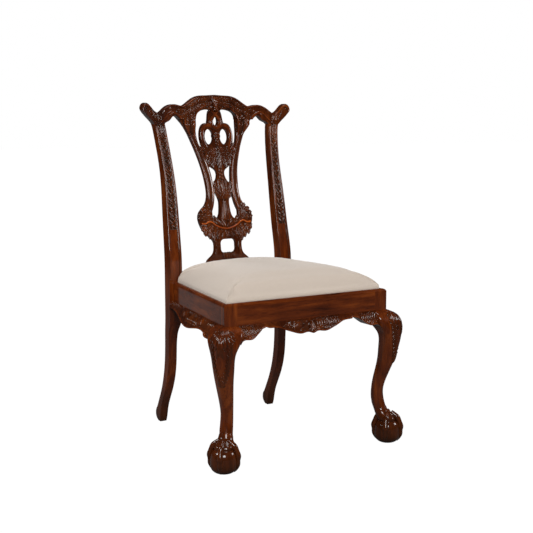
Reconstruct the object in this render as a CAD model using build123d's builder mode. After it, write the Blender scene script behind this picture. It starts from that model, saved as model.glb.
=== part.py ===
from build123d import *
import math
import os

os.makedirs("parts", exist_ok=True)

# Overall sizes, with the floor at zero, the sitter facing -Y and the chair symmetric about X = 0
overall_height = 1027.0  # floor to the top of the crest
front_width = 545.0  # over the two front corners of the seat rails
seat_depth = 435.0  # face of the front rail to the front of the rear posts
heel_reach = 122.9  # heels of the rear legs behind the front of the rear posts
rail_rear_step = 14.385850457824858  # side rails inside the outer faces of the posts there, for a splay of 8.87 degrees
overrun = 5.0  # how far every cutting solid runs past what it cuts

# Seat rails
rail_top = 460.0
rail_height = 61.0
rail_thickness = 24.0
thumbnail_radius = 9.0  # rounded outer top edge of the rails
lip_width = 11.0  # rim left outside the slip seat
rabbet_depth = 14.0
rear_rail_setback = 3.0  # rear rail face behind the front of the posts
rear_rail_thickness = 30.0
rear_ledge = 11.5  # part of the rear rail that the slip seat rests on

# Joinery
joint_clearance = 0.15
tenon_thickness = 9.0
tenon_margin = 10.0  # shoulder above and below each tenon
front_tenon_length = 22.0
front_tenon_setback = 6.5  # shoulder in front of the front rail's tenon
side_tenon_length = 19.0
rear_tenon_length = 20.0
rear_tenon_setback = 3.0  # from the tenon's back face to the back of the post

# Front legs
stump_side = 42.0
knee_reach = 46.8  # furthest point of the knee beyond the rails' corner, on the diagonal
knee_width = 77.0
ball_radius = 38.0
ball_height = 71.0
ball_base_radius = 23.0
ball_neck_radius = 12.0
foot_offset = 6.1  # ball centre outside each rail face
claw_reach = 39.5
bone_radii = [(6.5, 6.0), (6.0, 5.6), (5.6, 5.0), (5.0, 2.4)]  # start and end of each bone, from the ankle
knuckle_radii = (7.6, 7.4, 6.4)
# height share of the rail's underside, reach share of the knee, side share of its width, corner share of its side
leg_section_shares = [
    (1.0, -0.635, 0.545, 0.06),
    (0.975, -0.42, 0.86, 0.12),
    (0.938, -0.215, 1.0, 0.18),
    (0.885, 0.015, 0.94, 0.21),
    (0.825, 0.225, 0.775, 0.26),
    (0.73, 0.19, 0.68, 0.31),
    (0.635, 0.045, 0.6, 0.34),
    (0.51, -0.275, 0.5, 0.38),
    (0.39, -0.505, 0.432, 0.42),
    (0.3, -0.435, 0.436, 0.42),
    (0.225, -0.235, 0.46, 0.42),
    (0.14, 0.09, 0.5, 0.42),
]
ankle_setback = 18.0  # ankle behind the ball's centre, on the diagonal
# radius share of the claw's reach and height share of the ball, from the ankle to the tip
claw_path_shares = [(0.3, 1.25), (0.74, 1.03), (1.0, 0.68), (0.98, 0.34), (0.74, 0.05)]

# Rear legs and posts
post_spacing = 395.0  # between the posts' centres at the seat
post_width = 43.0
post_depth = 33.0
post_straight_drop = 27.0  # the post is square from here below the rails
post_straight_rise = 40.0  # to here above them
post_lean_run = 84.9  # front of the post at the crest behind its front at the seat
post_top_depth = 24.0
# height share of the straight bottom, then width shares from the post's centre line to its two edges
leg_width_shares = [(0.0, -0.19, 0.28), (0.09, -0.26, 0.35), (0.54, -0.28, 0.37), (0.81, -0.34, 0.41)]
# height share between the straight top and the crest, then the same width shares
post_width_shares = [(0.23, -0.545, 0.43), (0.46, -0.57, 0.34), (0.69, -0.52, 0.28), (0.92, -0.36, 0.44)]
post_top_width_shares = (-0.256, 0.58)
# height share of the straight bottom and share of the rearward sweep
leg_front_shares = [(0.0, 0.776), (0.12, 0.7), (0.288, 0.452), (0.56, 0.203), (0.82, 0.128)]
leg_back_shares = [(0.12, 0.92), (0.288, 0.645), (0.56, 0.42), (0.82, 0.35)]
heel_height = 27.0
heel_base_share = 0.9
# height share between the straight top and the crest, and share of the lean
post_lean_shares = [(0.23, 0.165), (0.57, 0.48)]

# Crest rail
crest_height = 91.0  # joint with the posts to the top
crest_depth = 26.0  # front of its middle at that joint to its upright back
crest_sag = 12.0  # the middle of the crest behind its ends, in plan, at the posts' centres
crest_lean = 0.15  # forward face's run per unit of height
crest_ear_half_width = 264.0
splat_joint_rise = 14.0  # joint with the splat's straps, above the joint with the posts
loop_joint_rise = 41.0  # joint with the splat's middle loop
# half-width share of the ear and height share between the post top and the crest's top, middle to ear
crest_top_shares = [
    (0.0, 1.0), (0.09, 0.985), (0.227, 0.955), (0.303, 0.87), (0.379, 0.72),
    (0.447, 0.62), (0.52, 0.655), (0.6, 0.66), (0.7, 0.52), (0.78, 0.375),
    (0.84, 0.46), (0.9, 0.65), (0.945, 0.71), (0.985, 0.65), (1.0, 0.53),
    (0.965, 0.36), (0.905, 0.19),
]
crest_arch_shares = [(0.64, 0.115), (0.567, 0.285), (0.53, 0.25)]
crest_window_shares = [(0.27, 0.27), (0.247, 0.38), (0.19, 0.465), (0.11, 0.49)]

# Splat, in widths from the middle line and heights between its foot and the crest joint
splat_thickness = 12.0
splat_setback = 19.9  # front of its foot behind the front of the posts
splat_recess = 6.9  # front of its straps behind the front of the crest
splat_half_width = 96.0  # over the volutes of the basket
# height share of the splat, and share of its lean
splat_lean_shares = [(0.18, 0.085), (0.31, 0.215), (0.445, 0.35), (0.58, 0.53), (0.73, 0.75), (0.89, 0.915)]
# width share of the half width and height share of the splat, upwards
splat_edge_shares = [
    (0.83, 0.0), (0.73, 0.04), (0.55, 0.075), (0.5, 0.12), (0.52, 0.155), (0.66, 0.19), (0.85, 0.23),
    (0.96, 0.275), (1.0, 0.325), (0.95, 0.36), (0.74, 0.405), (0.61, 0.465),
    (0.595, 0.55), (0.665, 0.665), (0.8, 0.77), (0.96, 0.86), (1.14, 0.94), (1.36, 1.0),
]
strap_inner_shares = [(0.77, 1.0), (0.76, 0.93), (0.71, 0.845), (0.64, 0.815), (0.55, 0.81)]
ring_outer_shares = [(0.55, 0.81), (0.605, 0.86), (0.6, 0.91), (0.5, 0.96), (0.3, 0.975)]
loop_outer_shares = [(0.3, 0.975), (0.27, 1.0), (0.245, 1.035), (0.17, 1.07)]
side_window_strap_shares = [(0.5, 0.765), (0.45, 0.7), (0.36, 0.6), (0.335, 0.52), (0.36, 0.45), (0.48, 0.37)]
side_window_column_shares = [
    (0.48, 0.37), (0.35, 0.31), (0.25, 0.33), (0.19, 0.38), (0.185, 0.44), (0.29, 0.5), (0.295, 0.545),
    (0.18, 0.585), (0.165, 0.645), (0.36, 0.68), (0.4, 0.73), (0.5, 0.765),
]
ring_hole_centre_shares = (0.28, 0.88)
ring_hole_size_shares = (0.16, 0.054)
bud_radius = 13.5
bud_height_share = 0.885
loop_hole_size_shares = (0.09, 0.034)
loop_hole_height_share = 0.992
foot_window_width = 54.0
foot_window_height = 43.0
foot_window_corner = 13.0
foot_window_sill = 35.0  # above the splat's foot
splat_tenon_length = 10.0
splat_tenon_thickness = 6.0
foot_tenon_width = 110.0
strap_tenon_width = 36.0
loop_tenon_width = 20.0

# Shoe under the splat
shoe_height = 40.0
shoe_half_length = 96.0
shoe_depth = 18.0
shoe_cap_overhang = 1.5
shoe_cap_height = 8.0

# Carved aprons and knee brackets, hung under the rails
swell_drop = 60.0
swell_reach = 28.0
apron_backing = 18.0  # thickness behind the rail's face
# share of the drop and share of the reach
swell_shares = [(0.0, 0.08), (0.13, 0.36), (0.42, 0.69), (0.7, 0.93), (1.0, 1.0)]
front_joint = 162.0  # apron meets knee bracket, from the middle line
side_joint = 104.0  # side bracket meets side apron, from the front corner
# share of the joint's distance from the middle line and share of the drop
front_apron_shares = [
    (0.0, 0.66), (0.09, 0.585), (0.24, 0.62), (0.4, 0.525), (0.55, 0.385), (0.7, 0.25), (0.87, 0.21),
]
# share of the bracket's length from the joint to the leg and share of the drop
front_bracket_shares = [(0.0, 0.245), (0.12, 0.35), (0.3, 0.5), (0.52, 0.63), (0.78, 0.62), (1.0, 0.8)]
side_bracket_shares = [(0.0, 0.6), (0.2, 0.69), (0.55, 0.7), (1.0, 0.86)]
# share of the side apron's length from the joint to the post and share of the drop
side_apron_shares = [
    (0.0, 0.56), (0.16, 0.52), (0.3, 0.64), (0.44, 0.72), (0.53, 0.67), (0.65, 0.5), (0.77, 0.34), (1.0, 0.33),
]

# Corner blocks and their screws
block_leg = 62.0  # length glued along each rail
block_height = 38.0
block_gap = 3.0  # below the ledge that carries the slip seat
screw_radius = 2.0
screw_head_radius = 4.0
screw_head_height = 3.0
screw_bite = 13.0  # into the rail
screw_web = 10.0  # block left under the head
screw_clearance = 0.15
screw_place_share = 0.3  # of the glued length, from the leg

# Dowels between the posts and the crest
dowel_radius = 4.0
dowel_half_length = 22.0
dowel_spacing = 15.0

# Slip seat
seat_clearance = 0.8
notch_clearance = 3.0  # between the seat and the posts
seat_corner_radius = 6.0
fabric_thickness = 1.4
seat_member_thickness = 16.0
seat_member_width = 48.0
seat_tenon_length = 18.0
seat_tenon_thickness = 6.0
seat_tenon_width = 28.0
strap_width = 50.0
strap_thickness = 2.0
hessian_thickness = 0.8
cambric_thickness = 0.6
cover_turn_under = 38.0
cambric_inset = 31.5
cushion_rise = 64.0  # crown above the rails
tack_head_radius = 3.0
tack_head_height = 0.8
tack_shank_radius = 0.7
tack_length = 10.0
tack_inset = 35.0
# places along the front row, from one corner to the other, and along half the back row and each side row
front_tack_shares = (0.06, 0.23, 0.41, 0.59, 0.77, 0.94)
back_tack_shares = (0.2, 0.75)
side_tack_shares = (0.16, 0.38, 0.6, 0.82)
# inset share and rise share of the cushion's crown, with the growth of its corners, from the rim to the top
crown_shares = [
    (0.0, 0.13, 0.0), (0.03, 0.29, 0.03), (0.11, 0.52, 0.11), (0.28, 0.76, 0.25), (0.58, 0.93, 0.4), (1.0, 1.0, 0.45),
]
crown_inset = 150.0
crown_corner = 120.0
corner_wall_share = 0.494  # most that a corner takes of the shorter of a section's back and depth

# Places worked out from the sizes above
half_front = front_width / 2
rail_bottom = rail_top - rail_height
ledge_level = rail_top - rabbet_depth
overall_depth = ball_radius + foot_offset + seat_depth + heel_reach
front_face = -overall_depth / 2 + ball_radius + foot_offset
stump_back = front_face + stump_side
stump_inner = half_front - stump_side
post_front = front_face + seat_depth
post_back = post_front + post_depth
post_centre = post_spacing / 2
post_straight_bottom = rail_bottom - post_straight_drop
post_straight_top = rail_top + post_straight_rise
post_top = overall_height - crest_height
post_top_front = post_front + post_lean_run
post_inner = post_centre - post_width / 2
post_outer = post_centre + post_width / 2
rear_rail_front = post_front + rear_rail_setback
rear_rail_back = rear_rail_front + rear_rail_thickness
shoe_front = rear_rail_front + rear_ledge
crest_middle_front = post_top_front + crest_sag
splat_foot = rail_top + shoe_height
splat_joint = post_top + splat_joint_rise
loop_joint = post_top + loop_joint_rise
splat_front_at_foot = post_front + splat_setback
splat_front_at_crest = crest_middle_front + crest_lean * splat_joint_rise + splat_recess
splay = math.atan2(half_front - (post_outer - rail_rear_step), post_front - front_face)
front_plane = Plane(origin=(0, front_face, rail_bottom), x_dir=(1, 0, 0), z_dir=(0, -1, 0))
side_plane = Plane(
    origin=(half_front, front_face, rail_bottom),
    x_dir=(-math.sin(splay), math.cos(splay), 0),
    z_dir=(math.cos(splay), math.sin(splay), 0),
)
side_run = (post_front - front_face) / math.cos(splay)


def side_x(y, inset=0):
    """X of the right side rail's outer face at y, moved inwards by an inset square to the face."""
    return half_front - (y - front_face) * math.tan(splay) - inset / math.cos(splay)


def section_plane(face_plane):
    """Plane across a rail: its X points outwards from the rail's face and its Y points up."""
    return Plane(origin=face_plane.origin, x_dir=face_plane.z_dir, z_dir=face_plane.x_dir * -1)


def mix(low, high, share):
    return low + (high - low) * share


def save(piece, label):
    piece.label = label
    export_step(piece, f"parts/{label}.step")


def mirrored(piece):
    """The left-hand piece for a right-hand one."""
    with BuildPart() as left:
        mirror(piece, about=Plane.YZ)
    return left.part


def save_pair(piece, label):
    save(piece, f"{label}_right")
    save(mirrored(piece), f"{label}_left")


def rail_blank(face_plane, start, end):
    """A straight rail with a thumbnail edge and a rabbet, between two distances along its face."""
    across = section_plane(face_plane)
    start_plane = Plane(origin=across.origin + face_plane.x_dir * start, x_dir=across.x_dir, z_dir=across.z_dir)
    with BuildPart() as blank:
        with BuildSketch(start_plane):
            with BuildLine():
                Polyline((0, rail_height - thumbnail_radius), (0, 0), (-rail_thickness, 0),
                         (-rail_thickness, rail_height - rabbet_depth), (-lip_width, rail_height - rabbet_depth),
                         (-lip_width, rail_height), (-thumbnail_radius, rail_height))
                RadiusArc((0, rail_height - thumbnail_radius), (-thumbnail_radius, rail_height), -thumbnail_radius)
            make_face()
        extrude(amount=start - end)
    return blank.part


def swell_blank(face_plane, reach):
    """A long strip with the swelled section of the carved apron."""
    with BuildPart() as blank:
        with BuildSketch(section_plane(face_plane)):
            with BuildLine():
                swell = Spline(*[(reach_share * swell_reach, -drop_share * swell_drop)
                                 for drop_share, reach_share in swell_shares])
                Polyline(swell @ 1, (-apron_backing, -swell_drop), (-apron_backing, 0), swell @ 0)
            make_face()
        extrude(amount=reach, both=True)
    return blank.part


# Front legs: stump, cabriole leg, ball and claws in one piece
foot_x = half_front + foot_offset
foot_y = front_face - foot_offset
tenon_height = rail_height - rabbet_depth - 2 * tenon_margin
tenon_bottom = rail_bottom + tenon_margin
front_tenon_y = front_face + front_tenon_setback + tenon_thickness / 2
side_tenon_inset = rail_thickness / 2


def tenon_box(width, length, height, plane):
    """A block that starts overrun behind the plane and runs its length past it along the plane's normal."""
    with BuildPart() as block:
        with BuildSketch(plane.offset(-overrun)):
            Rectangle(width, height, align=(Align.CENTER, Align.MIN))
        extrude(amount=length + overrun)
    return block.part


def front_tenon_plane(offset):
    return Plane(origin=(stump_inner + offset, front_tenon_y, tenon_bottom), x_dir=(0, 1, 0), z_dir=(1, 0, 0))


def side_tenon_plane(y, forward):
    x = side_x(y, side_tenon_inset)
    direction = side_plane.x_dir * (-1 if forward else 1)
    return Plane(origin=(x, y, tenon_bottom), x_dir=side_plane.z_dir * (1 if forward else -1), z_dir=direction)


with BuildPart() as front_leg_right:
    # stump between the rails
    with BuildSketch(Plane.XY.offset(rail_bottom)):
        Polygon((half_front, front_face), (side_x(stump_back), stump_back), (stump_inner, stump_back),
                (stump_inner, front_face), align=None)
    extrude(amount=rail_height)
    with BuildSketch(Plane.XY.offset(ledge_level)):
        lip_front, ledge_back, ledge_inner = front_face + lip_width, stump_back + overrun, stump_inner - overrun
        Polygon((side_x(lip_front, lip_width), lip_front), (side_x(ledge_back, lip_width), ledge_back),
                (ledge_inner, ledge_back), (ledge_inner, lip_front), align=None)
    extrude(amount=rabbet_depth + overrun, mode=Mode.SUBTRACT)
    rim = front_leg_right.edges().group_by(Axis.Z)[-1]
    fillet(rim.sort_by_distance((half_front, front_face, rail_top))[:2], thumbnail_radius)
    # cabriole leg, lofted from the rail's underside into the ball
    for height_share, reach_share, side_share, corner_share in leg_section_shares:
        outwards = reach_share * knee_reach / math.sqrt(2)
        side = side_share * knee_width
        with BuildSketch(Plane.XY.offset(height_share * rail_bottom)):
            with Locations((half_front + outwards, front_face - outwards)):
                RectangleRounded(side, side, corner_share * side)
    loft()
    # ball, flat where it stands
    with BuildSketch(Plane(origin=(foot_x, foot_y, 0), x_dir=(1, 0, 0), z_dir=(0, -1, 0))):
        with BuildLine():
            flank = Spline((ball_base_radius, 0), (ball_radius, ball_height / 2), (ball_neck_radius, ball_height),
                           tangents=((1, 0.45), (-1, 0.25)))
            Polyline(flank @ 1, (0, ball_height), (0, 0), flank @ 0)
        make_face()
    revolve(axis=Axis((foot_x, foot_y, 0), (0, 0, 1)))
    # four claws, on the diagonals
    for turn in range(4):
        heading = math.radians(-45 + 90 * turn)
        outwards, across = math.cos(heading) * claw_reach, math.sin(heading) * claw_reach
        claw_points = [
            Vector(foot_x + outwards * radius_share, foot_y + across * radius_share, height_share * ball_height)
            for radius_share, height_share in claw_path_shares
        ]
        claw_points[0] += Vector(-1, 1).normalized() * ankle_setback
        for number, (start_radius, end_radius) in enumerate(bone_radii):
            start, end = claw_points[number], claw_points[number + 1]
            bone = Plane(origin=start, z_dir=end - start)
            with BuildSketch(bone):
                Circle(start_radius)
            with BuildSketch(bone.offset((end - start).length)):
                Circle(end_radius)
            loft()
        for number, knuckle in enumerate(knuckle_radii, start=1):
            with Locations(claw_points[number]):
                Sphere(knuckle)
    split(bisect_by=Plane.XY, keep=Keep.TOP)
    # mortises for the front and side rails
    add(tenon_box(tenon_thickness + 2 * joint_clearance, front_tenon_length + joint_clearance,
                  tenon_height + 2 * joint_clearance, front_tenon_plane(0).move(Location((0, 0, -joint_clearance)))),
        mode=Mode.SUBTRACT)
    add(tenon_box(tenon_thickness + 2 * joint_clearance, side_tenon_length + joint_clearance,
                  tenon_height + 2 * joint_clearance,
                  side_tenon_plane(stump_back, True).move(Location((0, 0, -joint_clearance)))),
        mode=Mode.SUBTRACT)
save_pair(front_leg_right.part, "front_leg")

# Corner block screws, which also need pilot holes in the rails
block_bottom = ledge_level - block_gap - block_height
front_rail_inner = front_face + rail_thickness


def inner_x(y):
    """X of the right side rail's inner face at y."""
    return side_x(y, rail_thickness)


def screw_parts(plane, extra):
    """A round-head screw along the plane's normal, grown by extra; the plane lies between block and rail."""
    with BuildPart() as screw:
        with BuildSketch(plane.offset(-screw_web)):
            Circle(screw_radius + extra)
        extrude(amount=screw_web + screw_bite + extra)
        with BuildSketch(plane.offset(-screw_web)):
            Circle(screw_head_radius + extra)
        extrude(amount=-screw_head_height if extra == 0 else -block_leg)
    return screw.part


screw_level = block_bottom + block_height / 2
screw_run = screw_place_share * block_leg
front_screws = [
    Plane(origin=(stump_inner - screw_run, front_rail_inner, screw_level), z_dir=(0, -1, 0)),
    Plane(origin=Vector(inner_x(stump_back + screw_run), stump_back + screw_run, screw_level), z_dir=side_plane.z_dir),
]
rear_screws = [
    Plane(origin=(post_inner - screw_run, rear_rail_front, screw_level), z_dir=(0, 1, 0)),
    Plane(origin=Vector(inner_x(post_front - screw_run), post_front - screw_run, screw_level), z_dir=side_plane.z_dir),
]

# Front rail, tenoned into both stumps
with BuildPart() as front_seat_rail:
    add(rail_blank(front_plane, -stump_inner, stump_inner))
    right_tenon = tenon_box(tenon_thickness, front_tenon_length, tenon_height, front_tenon_plane(0))
    add(right_tenon)
    mirror(right_tenon, about=Plane.YZ)
    pilot = screw_parts(front_screws[0], screw_clearance)
    add(pilot, mode=Mode.SUBTRACT)
    mirror(pilot, about=Plane.YZ, mode=Mode.SUBTRACT)
save(front_seat_rail.part, "front_seat_rail")

# Side rails, trimmed square to the stump and to the post
with BuildPart() as side_rail_right:
    add(rail_blank(side_plane, 0, side_run + rail_thickness))
    split(bisect_by=Plane.XZ.offset(-stump_back), keep=Keep.BOTTOM)
    split(bisect_by=Plane.XZ.offset(-post_front), keep=Keep.TOP)
    add(tenon_box(tenon_thickness, side_tenon_length, tenon_height, side_tenon_plane(stump_back, True)))
    add(tenon_box(tenon_thickness, side_tenon_length, tenon_height, side_tenon_plane(post_front, False)))
    for screw_plane in (front_screws[1], rear_screws[1]):
        add(screw_parts(screw_plane, screw_clearance), mode=Mode.SUBTRACT)
save_pair(side_rail_right.part, "side_rail")

# Rear legs, each running up into its post: a front outline cut by a side outline
straight_height = post_straight_bottom
lean_height = post_top - post_straight_top
sweep_back = overall_depth / 2 - post_front
sweep_back_edge = overall_depth / 2 - post_back


def post_edge(shares_index, top_share):
    """Front outline of one edge of the post, from the floor to the crest."""
    lower = [(post_centre + shares[shares_index] * post_width, shares[0] * straight_height)
             for shares in leg_width_shares]
    upper = [(post_centre + shares[shares_index] * post_width, post_straight_top + shares[0] * lean_height)
             for shares in post_width_shares]
    straight = post_inner if shares_index == 1 else post_outer
    bottom = (straight, post_straight_bottom)
    top = (straight, post_straight_top)
    end = (post_centre + top_share * post_width, post_top)
    return lower, bottom, top, upper, end


inner_lower, inner_bottom, inner_top, inner_upper, inner_end = post_edge(1, post_top_width_shares[0])
outer_lower, outer_bottom, outer_top, outer_upper, outer_end = post_edge(2, post_top_width_shares[1])
rear_tenon_y = post_back - rear_tenon_setback - tenon_thickness / 2


def rear_tenon_plane():
    return Plane(origin=(post_inner, rear_tenon_y, tenon_bottom), x_dir=(0, 1, 0), z_dir=(1, 0, 0))


def dowel_planes():
    """Planes at the joint of the post and the crest, centred on each dowel."""
    middle_x = (inner_end[0] + outer_end[0]) / 2
    middle_y = post_top_front + post_top_depth / 2
    return [Plane(origin=(middle_x + step * dowel_spacing / 2, middle_y, post_top), z_dir=(0, crest_lean, 1))
            for step in (-1, 1)]


def round_bar(plane, radius, below, above):
    """A round bar along the plane's normal, from a distance below it to a distance above it."""
    with BuildPart() as bar:
        with BuildSketch(plane.offset(-below)):
            Circle(radius)
        extrude(amount=below + above)
    return bar.part


with BuildPart() as rear_leg_right:
    with BuildSketch(Plane.XZ):
        with BuildLine():
            low_inner = Spline(*inner_lower, inner_bottom, tangents=((-0.3, 1), (0, 1)))
            low_outer = Spline(*outer_lower, outer_bottom, tangents=((0.3, 1), (0, 1)))
            high_inner = Spline(inner_top, *inner_upper, inner_end, tangents=((0, 1), (0.2, 1)))
            high_outer = Spline(outer_top, *outer_upper, outer_end, tangents=((0, 1), (0.35, 1)))
            Line(inner_bottom, inner_top)
            Line(outer_bottom, outer_top)
            Line(low_inner @ 0, low_outer @ 0)
            Line(high_inner @ 1, high_outer @ 1)
        make_face()
    extrude(amount=-overall_depth)
    front_low = [(post_front + lean * sweep_back, height * straight_height) for height, lean in leg_front_shares]
    back_low = [(post_front + lean * sweep_back, height * straight_height) for height, lean in leg_back_shares]
    heel_base = (post_front + heel_base_share * sweep_back, 0)
    front_high = [(mix(post_front, post_top_front, lean), post_straight_top + height * lean_height)
                  for height, lean in post_lean_shares]
    back_high = [(mix(post_back, post_top_front + post_top_depth, lean), post_straight_top + height * lean_height)
                 for height, lean in post_lean_shares]
    with BuildSketch(Plane.YZ):
        with BuildLine():
            toe = Spline(*front_low, (post_front, post_straight_bottom), tangents=((-0.2, 1), (0, 1)))
            shin = Spline(*back_low, (post_back, post_straight_bottom), tangents=((-0.55, 1), (0, 1)))
            ThreePointArc(back_low[0], (overall_depth / 2, heel_height), heel_base)
            Line(heel_base, front_low[0])
            Line((post_front, post_straight_bottom), (post_front, post_straight_top))
            Line((post_back, post_straight_bottom), (post_back, post_straight_top))
            face_line = Spline((post_front, post_straight_top), *front_high, (post_top_front, post_top),
                               tangents=((0, 1), (crest_lean, 1)))
            back_line = Spline((post_back, post_straight_top), *back_high, (post_top_front + post_top_depth, post_top),
                               tangents=((0, 1), (crest_lean, 1)))
            Line(face_line @ 1, back_line @ 1)
        make_face()
    extrude(amount=front_width, mode=Mode.INTERSECT)
    # mortises for the side and rear rails
    add(tenon_box(tenon_thickness + 2 * joint_clearance, side_tenon_length + joint_clearance,
                  tenon_height + 2 * joint_clearance,
                  side_tenon_plane(post_front, False).move(Location((0, 0, -joint_clearance)))),
        mode=Mode.SUBTRACT)
    add(tenon_box(tenon_thickness + 2 * joint_clearance, rear_tenon_length + joint_clearance,
                  tenon_height + 2 * joint_clearance, rear_tenon_plane().move(Location((0, 0, -joint_clearance)))),
        mode=Mode.SUBTRACT)
    for dowel_plane in dowel_planes():
        add(round_bar(dowel_plane, dowel_radius + joint_clearance, dowel_half_length + joint_clearance, overrun),
            mode=Mode.SUBTRACT)
save_pair(rear_leg_right.part, "rear_leg")

# Rear rail between the posts, with a ledge for the slip seat
with BuildPart() as rear_seat_rail:
    with BuildSketch(Plane.XY.offset(rail_bottom)):
        with Locations((0, rear_rail_front)):
            Rectangle(2 * post_inner, rear_rail_thickness, align=(Align.CENTER, Align.MIN))
    extrude(amount=rail_height)
    with BuildSketch(Plane.XY.offset(ledge_level)):
        with Locations((0, rear_rail_front - overrun)):
            Rectangle(2 * (post_inner + overrun), rear_ledge + overrun, align=(Align.CENTER, Align.MIN))
    extrude(amount=rabbet_depth + overrun, mode=Mode.SUBTRACT)
    rear_tenon = tenon_box(tenon_thickness, rear_tenon_length, tenon_height, rear_tenon_plane())
    add(rear_tenon)
    mirror(rear_tenon, about=Plane.YZ)
    pilot = screw_parts(rear_screws[0], screw_clearance)
    add(pilot, mode=Mode.SUBTRACT)
    mirror(pilot, about=Plane.YZ, mode=Mode.SUBTRACT)
save(rear_seat_rail.part, "rear_seat_rail")

# Splat
splat_height = splat_joint - splat_foot


def splat_point(shares):
    return (shares[0] * splat_half_width, splat_foot + shares[1] * splat_height)


def splat_points(table):
    return [splat_point(shares) for shares in table]


def splat_slab(front_inset, thickness):
    """The splat's curved thickness, as a slab across the whole back."""
    lean = [(mix(splat_front_at_foot, splat_front_at_crest, lean_share), splat_foot + height_share * splat_height)
            for height_share, lean_share in [(0, 0), *splat_lean_shares, (1, 1)]]
    with BuildPart() as slab:
        with BuildSketch(Plane.YZ):
            with BuildLine():
                front_line = Spline(*[(y + front_inset, z) for y, z in lean], tangents=((0, 1), (crest_lean, 1)))
                back_line = Spline(*[(y + front_inset + thickness, z) for y, z in lean],
                                   tangents=((0, 1), (crest_lean, 1)))
                rise = loop_joint + splat_tenon_length - splat_joint
                front_end = Line(front_line @ 1, front_line @ 1 + Vector(crest_lean * rise, rise))
                back_end = Line(back_line @ 1, back_line @ 1 + Vector(crest_lean * rise, rise))
                Line(front_end @ 1, back_end @ 1)
                drop = splat_tenon_length
                front_foot = Line(front_line @ 0, front_line @ 0 + Vector(0, -drop))
                back_foot = Line(back_line @ 0, back_line @ 0 + Vector(0, -drop))
                Line(front_foot @ 1, back_foot @ 1)
            make_face()
        extrude(amount=front_width / 2, both=True)
    return slab.part


def splat_tenons(gain):
    """Tenons at the splat's foot, its two straps and its middle loop, grown by a clearance."""
    inset = (splat_thickness - splat_tenon_thickness) / 2
    slab = splat_slab(inset - gain, splat_tenon_thickness + 2 * gain)
    strap_middle = (splat_edge_shares[-1][0] + strap_inner_shares[0][0]) / 2 * splat_half_width
    length = splat_tenon_length + overrun + gain
    with BuildPart() as tenons:
        with BuildSketch(Plane.XZ):
            with Locations((0, splat_foot + overrun)):
                Rectangle(foot_tenon_width + 2 * gain, length, align=(Align.CENTER, Align.MAX))
            with Locations((-strap_middle, splat_joint - overrun), (strap_middle, splat_joint - overrun)):
                Rectangle(strap_tenon_width + 2 * gain, length, align=(Align.CENTER, Align.MIN))
            with Locations((0, loop_joint - overrun)):
                Rectangle(loop_tenon_width + 2 * gain, length, align=(Align.CENTER, Align.MIN))
        extrude(amount=-overall_depth)
        add(slab, mode=Mode.INTERSECT)
    return tenons.part


splat_tenon_set = splat_tenons(0)
splat_mortise_set = splat_tenons(joint_clearance)
splat_body_slab = splat_slab(0, splat_thickness)

with BuildPart() as back_splat:
    with BuildSketch(Plane.XZ):
        edge_points = splat_points(splat_edge_shares)
        with BuildLine():
            edge = Spline(*edge_points)
            Polyline(edge @ 1, (0, splat_joint), (0, splat_foot), edge @ 0)
        make_face()
        loop_half = loop_outer_shares[-1][0] * splat_half_width
        with Locations((0, splat_joint - overrun)):
            Rectangle(loop_outer_shares[0][0] * splat_half_width, loop_joint - splat_joint + overrun,
                      align=(Align.MIN, Align.MIN))
        # opening between the strap, the ring and the middle loop
        with BuildLine():
            strap = Spline(*splat_points(strap_inner_shares))
            ring = Spline(*splat_points(ring_outer_shares))
            loop = Spline(*splat_points(loop_outer_shares))
            Polyline(loop @ 1, (splat_half_width, (loop @ 1).Y), (splat_half_width, splat_joint + overrun),
                     strap @ 0 + Vector(0, overrun), strap @ 0)
        make_face(mode=Mode.SUBTRACT)
        # opening between the strap and the carved column
        with BuildLine():
            Spline(*splat_points(side_window_strap_shares))
            Spline(*splat_points(side_window_column_shares))
        make_face(mode=Mode.SUBTRACT)
        with Locations(splat_point(ring_hole_centre_shares)):
            Ellipse(ring_hole_size_shares[0] * splat_half_width, ring_hole_size_shares[1] * splat_height,
                    mode=Mode.SUBTRACT)
        mirror(about=Plane.YZ)
        with Locations((0, splat_foot + bud_height_share * splat_height)):
            Circle(bud_radius)
        with Locations((0, splat_foot + loop_hole_height_share * splat_height)):
            Ellipse(loop_hole_size_shares[0] * splat_half_width, loop_hole_size_shares[1] * splat_height,
                    mode=Mode.SUBTRACT)
        with Locations((0, splat_foot + foot_window_sill)):
            with Locations((0, foot_window_height / 2)):
                RectangleRounded(foot_window_width, foot_window_height, foot_window_corner, mode=Mode.SUBTRACT)
    extrude(amount=-overall_depth)
    add(splat_body_slab, mode=Mode.INTERSECT)
    add(splat_tenon_set)
save(back_splat.part, "back_splat")

# Shoe on the rear rail
with BuildPart() as splat_shoe:
    shoe_top_front = splat_front_at_foot - shoe_cap_overhang
    shoe_top_back = splat_front_at_foot + splat_thickness + shoe_cap_overhang
    with BuildSketch(Plane.YZ.offset(-shoe_half_length)):
        with BuildLine():
            cap_bottom = splat_foot - shoe_cap_height
            cove = Spline((shoe_front, rail_top), (shoe_top_front, cap_bottom), tangents=((0, 1), (-0.2, 1)))
            Polyline(cove @ 1, (shoe_top_front, splat_foot), (shoe_top_back, splat_foot), (shoe_top_back, cap_bottom),
                     (shoe_front + shoe_depth, rail_top), cove @ 0)
        make_face()
    extrude(amount=2 * shoe_half_length)
    add(splat_mortise_set, mode=Mode.SUBTRACT)
save(splat_shoe.part, "splat_shoe")

# Crest rail with its ears
arc_reach = crest_ear_half_width + overrun
plan_radius = (post_centre ** 2 + crest_sag ** 2) / (2 * crest_sag)


def crest_arc_y(x, middle_y):
    """Y of the crest's plan arc at x, where its middle is at middle_y."""
    return middle_y - (plan_radius - math.sqrt(plan_radius ** 2 - x ** 2))


def crest_point(shares):
    return (shares[0] * crest_ear_half_width, post_top + shares[1] * crest_height)


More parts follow.
